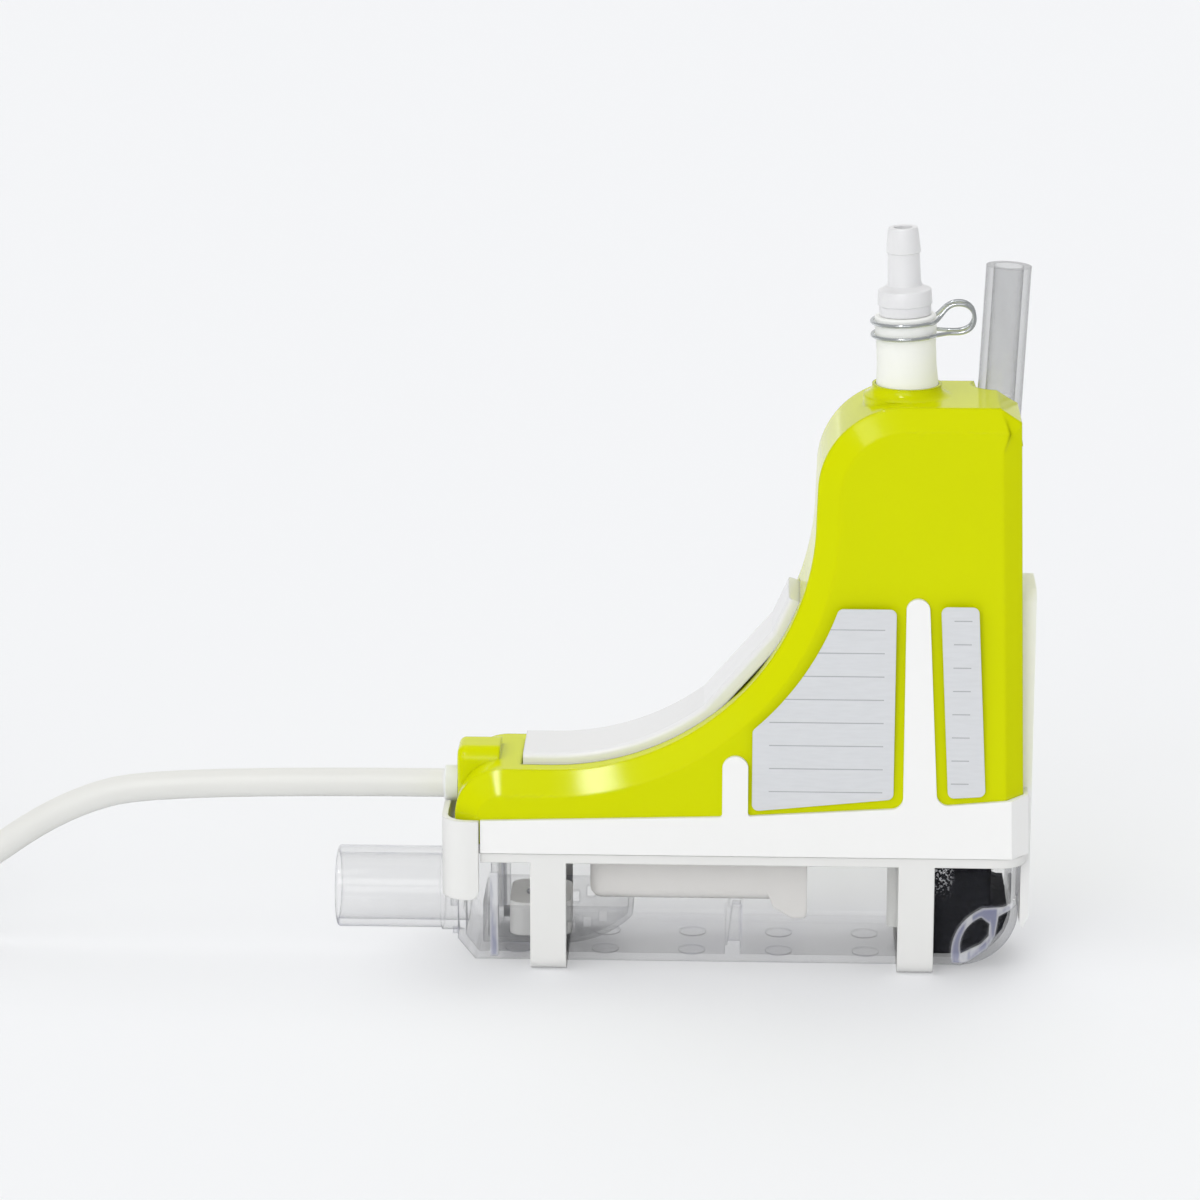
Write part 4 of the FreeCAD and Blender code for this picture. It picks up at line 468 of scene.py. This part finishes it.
@dataclass(frozen=True)
class Metal:
    """Bare or plated metal with fine drawing or turning marks."""

    name: str
    colour: Colour
    roughness: float
    marks: Point = (1.0, 1.0, 1.0)
    metallic: float = 1.0

    MARK_SIZE: ClassVar[float] = 0.0003
    MARK_DETAIL: ClassVar[int] = 5
    MARK_DEPTH: ClassVar[float] = 0.000003
    SMUDGE_SIZE: ClassVar[float] = 0.004
    SMUDGE_SHARE: ClassVar[float] = 0.88
    LEAST_ROUGH: ClassVar[float] = 0.75
    ROUGH_SWING: ClassVar[float] = 0.5
    CREASE: ClassVar[float] = 0.0001

    def make(self) -> bpy.types.Material:
        """Build the material."""
        recipe = Recipe(self.name)
        marks = recipe.noise(self.MARK_SIZE, self.MARK_DETAIL, self.marks)
        smudges = recipe.noise(self.SMUDGE_SIZE, 2)
        dull = shaded(self.colour, self.SMUDGE_SHARE)
        return recipe.finish({
            "Base Color": recipe.mix(smudges, linear(self.colour), linear(dull)),
            "Metallic": self.metallic,
            "Roughness": self.roughness * (self.LEAST_ROUGH + self.ROUGH_SWING * marks),
            "Normal": recipe.bump(marks, self.MARK_DEPTH, recipe.crease(self.CREASE)),
        })


@dataclass(frozen=True)
class OpenCellFoam:
    """Black filter foam, darker inside its pores as painted shade, with painted glints in a fixed
    upper patch.

    Attributes:
        name: The material's name.
        wall: Colour of the cell walls.
        pore_shade: Painted shade inside the pores.
        glint: Colour of the painted glints.
        pore_size: Distance between pores.
        lit_until: Where along X the painted glints end, from their full strength to none.
        lit_above: Where along Z the painted glints begin, from none to their full strength.
    """

    name: str
    wall: Colour
    pore_shade: Colour
    glint: Colour
    pore_size: float
    lit_until: Span
    lit_above: Span

    COARSE: ClassVar[float] = 3.1
    COARSE_SHARE: ClassVar[float] = 0.3
    GLINT_SIZE: ClassVar[float] = 0.5
    GLINTING: ClassVar[Span] = (0.52, 0.6)
    WALLED: ClassVar[Span] = (0.1, 0.6)
    ROUGHNESS: ClassVar[float] = 0.75
    GLINT_SMOOTH: ClassVar[float] = 0.25
    DEPTH: ClassVar[float] = 0.0004

    def make(self) -> bpy.types.Material:
        """Build the material."""
        recipe = Recipe(self.name)
        pores = recipe.cells(self.pore_size)
        coarse = recipe.cells(self.pore_size * self.COARSE)
        x, _, z = recipe.axes()
        # Painted glints, placed by position and not by any lamp.
        lit = (1 - x.rise(*self.lit_until)) * z.rise(*self.lit_above)
        glints = recipe.noise(self.pore_size * self.GLINT_SIZE, 2).rise(*self.GLINTING) * lit
        # Pores darker than the cell walls: painted shade.
        colour = recipe.mix(pores.rise(*self.WALLED), linear(self.pore_shade), linear(self.wall))
        height = pores * (1 - self.COARSE_SHARE) + coarse * self.COARSE_SHARE
        return recipe.finish({
            "Base Color": recipe.mix(glints, colour, linear(self.glint)),
            "Roughness": self.ROUGHNESS - self.GLINT_SMOOTH * glints,
            "Normal": recipe.bump(height, self.DEPTH),
        })


@dataclass(frozen=True)
class RuledFilm:
    """Bare foil label with plain printed rules.

    Attributes:
        name: The material's name.
        low: X and Z of the ruled area's lower left corner.
        high: X and Z of its upper right corner.
    """

    name: str
    low: Span
    high: Span

    FILM: ClassVar[Colour] = (233, 235, 238)
    INK: ClassVar[Colour] = (150, 152, 156)
    RULE_PITCH: ClassVar[float] = 0.0048
    RULE_WIDTH: ClassVar[float] = 0.0002
    INK_COVER: ClassVar[float] = 0.75
    GRAIN_SIZE: ClassVar[float] = 0.0006
    GRAIN_DETAIL: ClassVar[int] = 3
    GRAIN_STREAK: ClassVar[Point] = (6.0, 1.0, 1.0)
    GRAIN_DEPTH: ClassVar[float] = 0.000002
    GRAIN_SHARE: ClassVar[float] = 0.95
    METALLIC: ClassVar[float] = 0.1
    ROUGHNESS: ClassVar[float] = 0.34
    ROUGH_SWING: ClassVar[float] = 0.1
    CREASE: ClassVar[float] = 0.0001

    def make(self) -> bpy.types.Material:
        """Build the material."""
        recipe = Recipe(self.name)
        x, _, z = recipe.axes()
        grain = recipe.noise(self.GRAIN_SIZE, self.GRAIN_DETAIL, self.GRAIN_STREAK)
        (left, bottom), (right, top) = self.low, self.high
        inside = (x > left) * (x < right) * (z > bottom) * (z < top)
        ink = inside * ((z - bottom) % self.RULE_PITCH < self.RULE_WIDTH)
        film = recipe.mix(grain, linear(self.FILM), linear(shaded(self.FILM, self.GRAIN_SHARE)))
        return recipe.finish({
            "Base Color": recipe.mix(ink * self.INK_COVER, film, linear(self.INK)),
            "Metallic": self.METALLIC - self.METALLIC * ink,
            "Roughness": self.ROUGHNESS + self.ROUGH_SWING * grain,
            "Normal": recipe.bump(grain, self.GRAIN_DEPTH, recipe.crease(self.CREASE)),
        })


@dataclass(frozen=True)
class WoundWire:
    """Enamelled winding wire: turns stacked along the axis, with painted shade in the grooves between them.
    """

    name: str
    colour: Colour
    pitch: float

    GROOVE_SHADE_SHARE: ClassVar[float] = 0.45
    METALLIC: ClassVar[float] = 0.8
    ROUGHNESS: ClassVar[float] = 0.3
    DEPTH: ClassVar[float] = 0.00008

    def make(self) -> bpy.types.Material:
        """Build the material."""
        recipe = Recipe(self.name)
        _, _, z = recipe.axes()
        turns = abs((z * (math.pi / self.pitch)).sine())
        # The grooves between turns are darkened: painted shade.
        groove_shade = shaded(self.colour, self.GROOVE_SHADE_SHARE)
        return recipe.finish({
            "Base Color": recipe.mix(turns, linear(groove_shade), linear(self.colour)),
            "Metallic": self.METALLIC, "Roughness": self.ROUGHNESS,
            "Normal": recipe.bump(turns, self.DEPTH),
        })


def core_sheath(name: str, colour: Colour) -> Moulding:
    """Finish of one insulated core of the cord."""
    return Moulding(name, colour, roughness=0.4, grain=0.0004, grain_depth=0.000006, mottle=0.05, crease=0.0)


class Finish(Enum):
    """Every finish on the pump, by the piece it belongs to."""

    LIME = Moulding("lime_gloss", (214, 221, 0), roughness=0.12, grain=0.0022, grain_depth=0.000006,
                    mottle=0.015, crease=0.0009, shine=0.28)
    COVER = Moulding("cover_white", (236, 236, 237), roughness=0.24, grain=0.0016, grain_depth=0.000006,
                     mottle=0.012, crease=0.0005)
    WHITE = Moulding("white_satin", (238, 238, 236), roughness=0.32, grain=0.0008, grain_depth=0.000006,
                     mottle=0.012, crease=0.0004)
    SKIRT = Moulding("soft_white", (225, 224, 220), roughness=0.48, grain=0.0005, grain_depth=0.000006,
                     mottle=0.015, crease=0.0005)
    FLOOR = Moulding("tub_white", (241, 239, 236), roughness=0.36, grain=0.0008, grain_depth=0.000005,
                     mottle=0.02, crease=0.0005)
    SILICONE = Moulding("silicone", (232, 233, 226), roughness=0.42, grain=0.0006, grain_depth=0.000008,
                        mottle=0.02, crease=0.0003, subsurface=0.3)
    ADAPTOR = Moulding("adaptor_white", (234, 234, 235), roughness=0.3, grain=0.0008, grain_depth=0.000005,
                       mottle=0.015, crease=0.0001, subsurface=0.15)
    ACETAL = Moulding("acetal", (226, 225, 218), roughness=0.34, grain=0.0006, grain_depth=0.000004,
                      mottle=0.02, crease=0.00015)
    FLOAT = Moulding("float_foam", (246, 246, 244), roughness=0.55, grain=0.0005, grain_depth=0.00002,
                     mottle=0.03, crease=0.0004)
    GLAND = Moulding("gland_grey", (216, 217, 220), roughness=0.5, grain=0.0005, grain_depth=0.000006,
                     mottle=0.02, crease=0.0003)
    CORD = Moulding("cord_sheath", (232, 232, 228), roughness=0.38, grain=0.0007, grain_depth=0.000014,
                    mottle=0.02, crease=0.0)
    BLACK = Moulding("component_black", (24, 24, 26), roughness=0.4, grain=0.0003, grain_depth=0.00001,
                     mottle=0.1, crease=0.0002)
    BOARD = Moulding("board_green", (28, 92, 52), roughness=0.3, grain=0.0006, grain_depth=0.00001,
                     mottle=0.15, crease=0.0001)
    TIE = Moulding("tie_strap", (44, 44, 47), roughness=0.85, grain=0.0009, grain_depth=0.00006,
                   mottle=0.12, crease=0.0)
    CORE_BROWN = core_sheath("core_brown", (104, 58, 30))
    CORE_BLUE = core_sheath("core_blue", (40, 96, 178))
    CORE_BLACK = core_sheath("core_black", (26, 26, 28))
    CORE_VIOLET = core_sheath("core_violet", (112, 62, 150))
    # Tank edges pale as a painted highlight, breather edges dark as painted shade; the tank's ribs carry
    # painted shade and highlight.
    TANK = ClearPlastic("tank_clear", (92, 93, 101), (232, 233, 237), face_alpha=0.03, edge_alpha=0.72,
                        edge_power=4.5, edge_width=0.0009, proud_from=0.0146)
    TUBE = ClearPlastic("breather_clear", (118, 119, 122), (98, 99, 103), face_alpha=0.14, edge_alpha=0.85,
                        edge_power=2.2, edge_width=0.0003, tint_share=0.0)
    CAGE = ClearPlastic("cage_clear", (236, 237, 240), (240, 241, 245), face_alpha=0.10, edge_alpha=0.5)
    WIRE = Metal("clip_wire", (222, 226, 228), 0.12, (1.0, 1.0, 6.0), metallic=0.55)
    SPRING = Metal("spring_wire", (190, 192, 196), 0.16)
    STEEL = Metal("pump_steel", (172, 174, 178), 0.3, (1.0, 1.0, 8.0))
    MAGNET = Metal("magnet_nickel", (150, 150, 154), 0.25)
    BRASS = Metal("cylinder_brass", (214, 178, 104), 0.22, (1.0, 1.0, 12.0))
    # Pores darkened as painted shade; glints painted in a fixed upper patch.
    FOAM = OpenCellFoam("filter_black", wall=(13, 15, 25), pore_shade=(3, 4, 8), glint=(226, 226, 230),
                        pore_size=0.0011, lit_until=(0.0530, 0.0552), lit_above=(0.0145, 0.0215))
    WINDING = WoundWire("winding_copper", (196, 116, 68), pitch=0.00022)
    RATING = RuledFilm("rating_film", low=(0.0175, 0.0385), high=(0.0400, 0.0740))
    SERIAL = RuledFilm("serial_film", low=(0.0535, 0.0405), high=(0.0570, 0.0745))

    def material(self) -> bpy.types.Material:
        """The finish's material, made the first time it is asked for."""
        known = bpy.data.materials.get(self.value.name)
        return known or self.value.make()


NODE_FINISH: dict[Finish, tuple[str, ...]] = {
    Finish.LIME: ("pump_housing",),
    Finish.COVER: ("front_cover",),
    Finish.WHITE: ("front_latch", "tank_cradle"),
    Finish.SKIRT: ("isolation_skirt",),
    Finish.FLOOR: ("base_chassis",),
    Finish.SILICONE: ("outlet_tube", "lower_mount", "upper_mount", "suction_tube", "vent_hose",
                      "inlet_valve", "outlet_valve", "tank_gasket"),
    Finish.ADAPTOR: ("outlet_adaptor",),
    Finish.ACETAL: ("inlet_fitting", "outlet_head", "outlet_port", "inlet_valve_retainer",
                    "breather_spigot", "coil_bobbin"),
    Finish.FLOAT: ("float_block",),
    Finish.GLAND: ("cable_gland",),
    Finish.CORD: ("cord_run", "cord_hank"),
    Finish.BLACK: ("alarm_relay", "float_sensor", "board_capacitor"),
    Finish.BOARD: ("circuit_board",),
    Finish.TIE: ("cord_tie",),
    Finish.CORE_BROWN: ("cord_core_brown",),
    Finish.CORE_BLUE: ("cord_core_blue",),
    Finish.CORE_BLACK: ("cord_core_black",),
    Finish.CORE_VIOLET: ("cord_core_violet",),
    Finish.TANK: ("reservoir",),
    Finish.TUBE: ("breather_tube",),
    Finish.CAGE: ("float_cage",),
    Finish.WIRE: ("hose_clip",),
    Finish.SPRING: ("inlet_valve_spring", "outlet_valve_spring", "lower_piston_spring",
                    "upper_piston_spring", "board_screws"),
    Finish.STEEL: ("piston", "pump_yoke"),
    Finish.MAGNET: ("float_magnet",),
    Finish.BRASS: ("pump_cylinder",),
    Finish.FOAM: ("filter_foam",),
    Finish.WINDING: ("coil_winding",),
    Finish.RATING: ("rating_label",),
    Finish.SERIAL: ("serial_label",),
}


class NodeDress:
    """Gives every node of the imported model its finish."""

    def apply(self) -> None:
        """Put the finishes on, and stop if a node has none."""
        bare = set(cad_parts)
        for finish, names in NODE_FINISH.items():
            for name in names:
                self._paint(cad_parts[name], finish.material())
                bare.discard(name)
                log.info("%s is %s", name, finish.value.name)
        if bare:
            raise ValueError(f"no finish for {sorted(bare)}")

    @staticmethod
    def _paint(node: bpy.types.Object, material: bpy.types.Material) -> None:
        """Set every material slot of a node, on the object."""
        for slot in node.material_slots:
            slot.link = "OBJECT"
            slot.material = material


def link(piece: bpy.types.Object) -> bpy.types.Object:
    """Put a new object in the scene."""
    bpy.context.scene.collection.objects.link(piece)
    return piece


def mesh_from(work: bmesh.types.BMesh, name: str) -> bpy.types.Mesh:
    """Turn a working mesh into a named one and free it."""
    mesh = bpy.data.meshes.new(name)
    work.to_mesh(mesh)
    work.free()
    return mesh


@dataclass
class SupplyCord:
    """Round white cord: level out of the gland, down to the table, and put away in a tied hank.

    The route, the fold and the hank's sizes are in millimetres in the model's frame, and are those
    of the part's source. Each loop runs back along the near side, folds round and returns along the
    far side, and its last fold climbs onto the next loop.

    Attributes:
        radius: Half of the cord's thickness, in metres.
        exit: Where it leaves the casing, in metres. Not used.
        length: Its whole length, in metres. Not used.
        route: X and Z of the points from the gland to the hank.
        hank_right: X where the hank's folds next to the pump begin.
        hank_left: X where its far folds begin.
        fold: Radius of a fold.
        layers: How many loops lie on each other.
        pitch: Height from one loop to the next.
        level: Height of the lowest loop's middle.
        tail: X where the cord's sheath ends.
        parts_per_fold: How many parts a fold is drawn in.
        climb_share: Share of the fold in which it climbs.
    """

    radius: float = 2.9 * MM
    exit: Point = (-48.0 * MM, 0.0, 34.5 * MM)
    length: float = 1.531
    route: tuple[Span, ...] = (
        (-48.0, 34.5), (-105.0, 34.5), (-125.5, 29.3), (-147.0, 14.0), (-160.0, 6.6), (-170.0, 3.9),
        (-180.0, 3.6))
    hank_right: float = -190.0
    hank_left: float = -240.0
    fold: float = 17.4
    layers: int = 7
    pitch: float = 5.85
    level: float = 3.6
    tail: float = -219.0
    parts_per_fold: int = 8
    climb_share: float = 0.7

    ROUND_STEPS: ClassVar[int] = 6
    LENGTH_STEPS: ClassVar[int] = 8
    SPLINE_ORDER: ClassVar[int] = 3

    def build(self) -> bpy.types.Object:
        """Returns:
            The curve object.
        """
        curve = bpy.data.curves.new("supply_cord", "CURVE")
        curve.dimensions = "3D"
        curve.bevel_depth = self.radius
        curve.bevel_resolution = self.ROUND_STEPS
        curve.resolution_u = self.LENGTH_STEPS
        curve.use_fill_caps = True
        points = [(x, 0.0, z) for x, z in self.route] + self._hank()
        spline = curve.splines.new("NURBS")
        spline.points.add(len(points) - 1)
        for point, (x, y, z) in zip(spline.points, points):
            point.co = (x * MM, y * MM, z * MM, 1)
        spline.order_u = self.SPLINE_ORDER
        spline.use_endpoint_u = True
        piece = link(bpy.data.objects.new("supply_cord", curve))
        curve.materials.append(Finish.CORD.material())
        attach(piece, "casing")
        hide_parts("cord_run", "cord_hank")
        return piece

    def _hank(self) -> list[Point]:
        """Points of all the loops, from the floor up."""
        far = 2 * self.fold
        points: list[Point] = []
        for layer in range(self.layers):
            height = self.level + layer * self.pitch
            points += [(self.hank_right, 0.0, height), (self.hank_left, 0.0, height)]
            points += [self._on_fold(self.hank_left, -0.5 - part, height) for part in self._parts()]
            points.append((self.hank_left, far, height))
            if layer == self.layers - 1:
                points.append((self.tail, far, height))
                continue
            points.append((self.hank_right, far, height))
            points += [self._on_fold(self.hank_right, 0.5 - part, height + self._climb(part))
                       for part in self._parts()]
        return points

    def _parts(self) -> list[float]:
        """Shares of a fold at which its inner points stand."""
        return [step / self.parts_per_fold for step in range(1, self.parts_per_fold)]

    def _climb(self, part: float) -> float:
        """How far a fold has climbed after a share of it, smooth at both ends."""
        share = min(part / self.climb_share, 1.0)
        return self.pitch * share * share * (3 - 2 * share)

    def _on_fold(self, x: float, half_turns: float, height: float) -> Point:
        """A point on a fold, at an angle counted in half turns."""
        angle = math.pi * half_turns
        return (x + self.fold * math.cos(angle), self.fold + self.fold * math.sin(angle), height)


@dataclass
class HoseAdaptor:
    """White stepped adaptor with its barb, turned about the leaning outlet's axis.

    Attributes:
        foot: Where the axis leaves the outlet's base.
        lean: Tilt of the axis about Y, in degrees.
        sides: How many sides the turned shape has.
        crisp_from: Angle from which an edge is drawn sharp, in degrees.
        profile: Radius and height of the section's points above the foot, in millimetres.
    """

    foot: Point = (43.9 * MM, 0.0, 118.2 * MM)
    lean: float = -2.5
    sides: int = 64
    crisp_from: float = 30.0
    profile: tuple[Span, ...] = (
        (1.8, 2.8), (3.2, 2.8), (3.95, 4.8), (3.95, 13.9), (5.1, 13.9), (5.1, 15.8), (5.35, 15.95),
        (5.3, 18.6), (5.15, 18.85), (4.4, 19.1), (3.5, 19.7), (3.25, 20.5), (3.15, 26.1), (3.36, 26.25),
        (3.36, 26.7), (3.0, 30.6), (2.8, 31.15), (1.9, 31.15), (1.8, 31.0))

    def build(self) -> bpy.types.Object:
        """Make the adaptor's mesh.

        Returns:
            The new object.
        """
        mesh = mesh_from(self._turned(), "adaptor_steps")
        mesh.materials.append(Finish.ADAPTOR.material())
        mesh.shade_smooth()
        mesh.set_sharp_from_angle(angle=math.radians(self.crisp_from))
        piece = link(bpy.data.objects.new("adaptor_steps", mesh))
        piece.location = self.foot
        piece.rotation_euler = (0.0, math.radians(self.lean), 0.0)
        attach(piece, "casing")
        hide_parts("outlet_adaptor")
        return piece

    def _turned(self) -> bmesh.types.BMesh:
        """Closed skin of the section turned about Z."""
        work = bmesh.new()
        turns = [2 * math.pi * side / self.sides for side in range(self.sides)]
        rings = []
        for radius, height in self.profile:
            rings.append([work.verts.new((radius * math.cos(turn) * MM, radius * math.sin(turn) * MM,
                                          height * MM)) for turn in turns])
        for low, high in zip(rings, rings[1:] + rings[:1]):
            for side in range(self.sides):
                after = (side + 1) % self.sides
                work.faces.new((low[side], low[after], high[after], high[side]))
        bmesh.ops.recalc_face_normals(work, faces=work.faces)
        return work


@dataclass
class FilterBlock:
    """Open-cell foam that fills the back of the reservoir, with a torn, porous skin.

    Attributes:
        voxel: Spacing of its even skin.
        tear: How deep the skin is torn.
        tear_size: Distance between tears.
        bare_from: X and Z from which the upper back corner has no foam.
    """

    voxel: float = 0.9 * MM
    tear: float = 0.35 * MM
    tear_size: float = 1.3 * MM
    bare_from: Span = (62.3 * MM, 13.0 * MM)

    CUTTER_SPARE: ClassVar[float] = 0.01
    CUTTER_WIDTH: ClassVar[float] = 0.1

    def build(self) -> bpy.types.Object:
        """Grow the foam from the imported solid's shape.

        Returns:
            The foam object.
        """
        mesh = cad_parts["filter_foam"].data.copy()
        mesh.name = "filter_block"
        piece = link(bpy.data.objects.new("filter_block", mesh))
        corner = self._corner()
        notch = piece.modifiers.new("notch", "BOOLEAN")
        notch.operation, notch.object = "DIFFERENCE", corner
        remesh = piece.modifiers.new("even", "REMESH")
        remesh.mode = "VOXEL"
        remesh.voxel_size = self.voxel
        graph = bpy.context.evaluated_depsgraph_get()
        even = bpy.data.meshes.new_from_object(piece.evaluated_get(graph))
        piece.modifiers.clear()
        piece.data = even
        bpy.data.meshes.remove(corner.data)
        even.materials.clear()
        even.materials.append(Finish.FOAM.material())
        self._tear(even)
        even.shade_smooth()
        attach(piece, "tank_unit")
        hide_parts("filter_foam")
        return piece

    def _corner(self) -> bpy.types.Object:
        """Block that takes away the foam's upper back corner, where the tank is bare."""
        work = bmesh.new()
        bmesh.ops.create_cube(work, size=1.0)
        (start, bottom), (end, _, top) = self.bare_from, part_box("filter_foam")[1]
        for vertex in work.verts:
            vertex.co = (start if vertex.co.x < 0 else end + self.CUTTER_SPARE,
                         vertex.co.y * self.CUTTER_WIDTH,
                         bottom if vertex.co.z < 0 else top + self.CUTTER_SPARE)
        return link(bpy.data.objects.new("foam_corner", mesh_from(work, "foam_corner")))

    def _tear(self, mesh: bpy.types.Mesh) -> None:
        """Push the skin inwards by a repeatable noise, taken from -1 to 1 as a share from 0 to 1."""
        work = bmesh.new()
        work.from_mesh(mesh)
        work.normal_update()
        for vertex in work.verts:
            depth = 0.5 + 0.5 * noise.noise(vertex.co / self.tear_size)
            vertex.co -= vertex.normal * depth * self.tear
        work.to_mesh(mesh)
        work.free()


@dataclass(frozen=True)
class Sun:
    """Soft distant lamp that lights the pump and leaves no highlight.

    Attributes:
        name: The lamp's name.
        toward: Direction from the pump to the lamp.
        strength: Light on a surface that faces it.
        spread: Apparent size in degrees.
    """

    name: str
    toward: Point
    strength: float
    spread: float

    def build(self) -> None:
        """Hang the lamp."""
        lamp = bpy.data.lights.new(self.name, "SUN")
        lamp.energy = self.strength
        lamp.angle = math.radians(self.spread)
        piece = link(bpy.data.objects.new(self.name, lamp))
        piece.rotation_euler = Vector(self.toward).to_track_quat("Z", "Y").to_euler()
        piece.visible_glossy = False


@dataclass(frozen=True)
class Softbox:
    """Rectangular lamp that only shows in glossy plastic.

    Attributes:
        name: The lamp's name.
        toward: Direction from the pump's middle to the lamp.
        distance: How far away it stands.
        size: Its width and height.
        power: Its power in watts.
    """

    name: str
    toward: Point
    distance: float
    size: Span
    power: float

    PUMP_MIDDLE: ClassVar[Point] = (0, 0, 0.06)

    def build(self) -> None:
        """Stand the lamp up, facing the pump."""
        lamp = bpy.data.lights.new(self.name, "AREA")
        lamp.shape, lamp.energy = "RECTANGLE", self.power
        lamp.size, lamp.size_y = self.size
        piece = link(bpy.data.objects.new(self.name, lamp))
        away = Vector(self.toward).normalized()
        piece.location = away * self.distance + Vector(self.PUMP_MIDDLE)
        piece.rotation_euler = away.to_track_quat("Z", "Y").to_euler()
        piece.visible_diffuse = False


LAMPS = (
    Sun("key_light", (-0.25, -0.9, 0.36), strength=0.7, spread=40),
    Sun("top_light", (-0.65, -0.5, 1.0), strength=0.6, spread=50),
    Sun("back_light", (0.2, 0.62, 1.0), strength=0.8, spread=45),
    Softbox("window_light", (-0.23, -0.52, 0.82), distance=1.6, size=(0.24, 0.28), power=3.8),
    Softbox("strip_light", (-0.15, -0.86, 0.5), distance=1.9, size=(1.6, 0.6), power=8.0),
    Softbox("glow_light", (0.0, 1.0, 0.3), distance=3.0, size=(5.0, 2.6), power=26.0),
)


@dataclass
class Studio:
    """Pale floor, plain soft light and the camera.

    Attributes:
        camera_place: Where the camera stands.
        target: What it is aimed at.
        lens: Focal length in millimetres.
        sensor: Sensor width in millimetres.
        clip: Nearest and farthest distance that is drawn.
        background: Colour of the floor and of the wall behind it.
        sky: Strength of the even light from all round.
        floor_size: Width of the floor.
        floor_sink: How far the floor lies under the pump's lowest point.
        floor_glow: Share of the floor's look that no shadow darkens.
        mirrored: Colour that glossy surfaces mirror in front of the pump.
        mirror_turn: Y from which the floor they mirror goes over to the background's colour.
    """

    camera_place: Point = (16.7 * MM, -866.6 * MM, 313.7 * MM)
    target: Point = (-16.6 * MM, 0.0, 73.2 * MM)
    lens: float = 135.0
    sensor: float = 36.0
    clip: Span = (0.05, 50.0)
    background: Colour = (243, 244, 246)
    sky: float = 0.58
    floor_size: float = 12.0
    floor_sink: float = 0.02 * MM
    floor_glow: float = 0.3
    mirrored: Colour = (64, 65, 67)
    mirror_turn: Span = (-0.02, 0.12)

    def build(self) -> None:
        """Set the stage, the light and the camera."""
        bpy.context.scene.view_settings.view_transform = "Standard"
        self._floor()
        self._world()
        for lamp in LAMPS:
            lamp.build()
        self._camera()

    def _floor(self) -> None:
        """Large pale floor that keeps a soft shadow."""
        half = self.floor_size / 2
        corners = [(-half, -half), (half, -half), (half, half), (-half, half)]
        mesh = bpy.data.meshes.new("floor")
        mesh.from_pydata([(x, y, -self.floor_sink) for x, y in corners], [], [(0, 1, 2, 3)])
        floor = link(bpy.data.objects.new("floor", mesh))
        mesh.materials.append(self._paper())

    def _paper(self) -> bpy.types.Material:
        """The floor's paper: its own glow to the eye, and dim in front where it is mirrored."""
        recipe = Recipe("floor_paper")
        colour = linear(self.background)
        plain = recipe.add("ShaderNodeEmission", inputs={"Color": colour, "Strength": 1.0})
        paper = recipe.add("ShaderNodeBsdfDiffuse", inputs={"Color": colour})
        _, y, _ = recipe.axes()
        mirror = recipe.mix(y.rise(*self.mirror_turn), linear(self.mirrored), colour)
        dim = recipe.add("ShaderNodeEmission", inputs={"Color": mirror, "Strength": 1.0})
        surface = recipe.blend(recipe.ray("Is Camera Ray") * self.floor_glow, paper, plain)
        return recipe.close(recipe.blend(recipe.ray("Is Glossy Ray"), surface, dim))

    def _world(self) -> None:
        """Even sky, plain where it is seen and dim where it is mirrored."""
        world = bpy.data.worlds.new("studio")
        world.use_nodes = True
        recipe = Recipe("studio", world.node_tree)
        light, plain, dim = (
            recipe.add("ShaderNodeBackground", inputs={"Color": colour, "Strength": strength})
            for colour, strength in ((WHITE_LIGHT, self.sky), (linear(self.background), 1.0),
                                     (linear(self.mirrored), 1.0)))
        surface = recipe.blend(recipe.ray("Is Camera Ray"), light, plain)
        surface = recipe.blend(recipe.ray("Is Glossy Ray"), surface, dim)
        recipe.add("ShaderNodeOutputWorld", inputs={"Surface": surface})
        bpy.context.scene.world = world

    def _camera(self) -> None:
        """Camera at the photograph's viewing angle."""
        data = bpy.data.cameras.new("camera")
        data.lens, data.sensor_width = self.lens, self.sensor
        data.clip_start, data.clip_end = self.clip
        camera = link(bpy.data.objects.new("camera", data))
        camera.location = self.camera_place
        aim = Vector(self.target) - Vector(self.camera_place)
        camera.rotation_euler = aim.to_track_quat("-Z", "Y").to_euler()
        bpy.context.scene.camera = camera


def main() -> None:
    """Dress the pump, then set the studio."""
    logging.basicConfig(level=logging.INFO, format="%(name)s: %(message)s")
    NodeDress().apply()
    for part in (SupplyCord(), FilterBlock(), HoseAdaptor()):
        log.info("built %s", part.build().name)
    Studio().build()


if __name__ == "__main__":
    main()
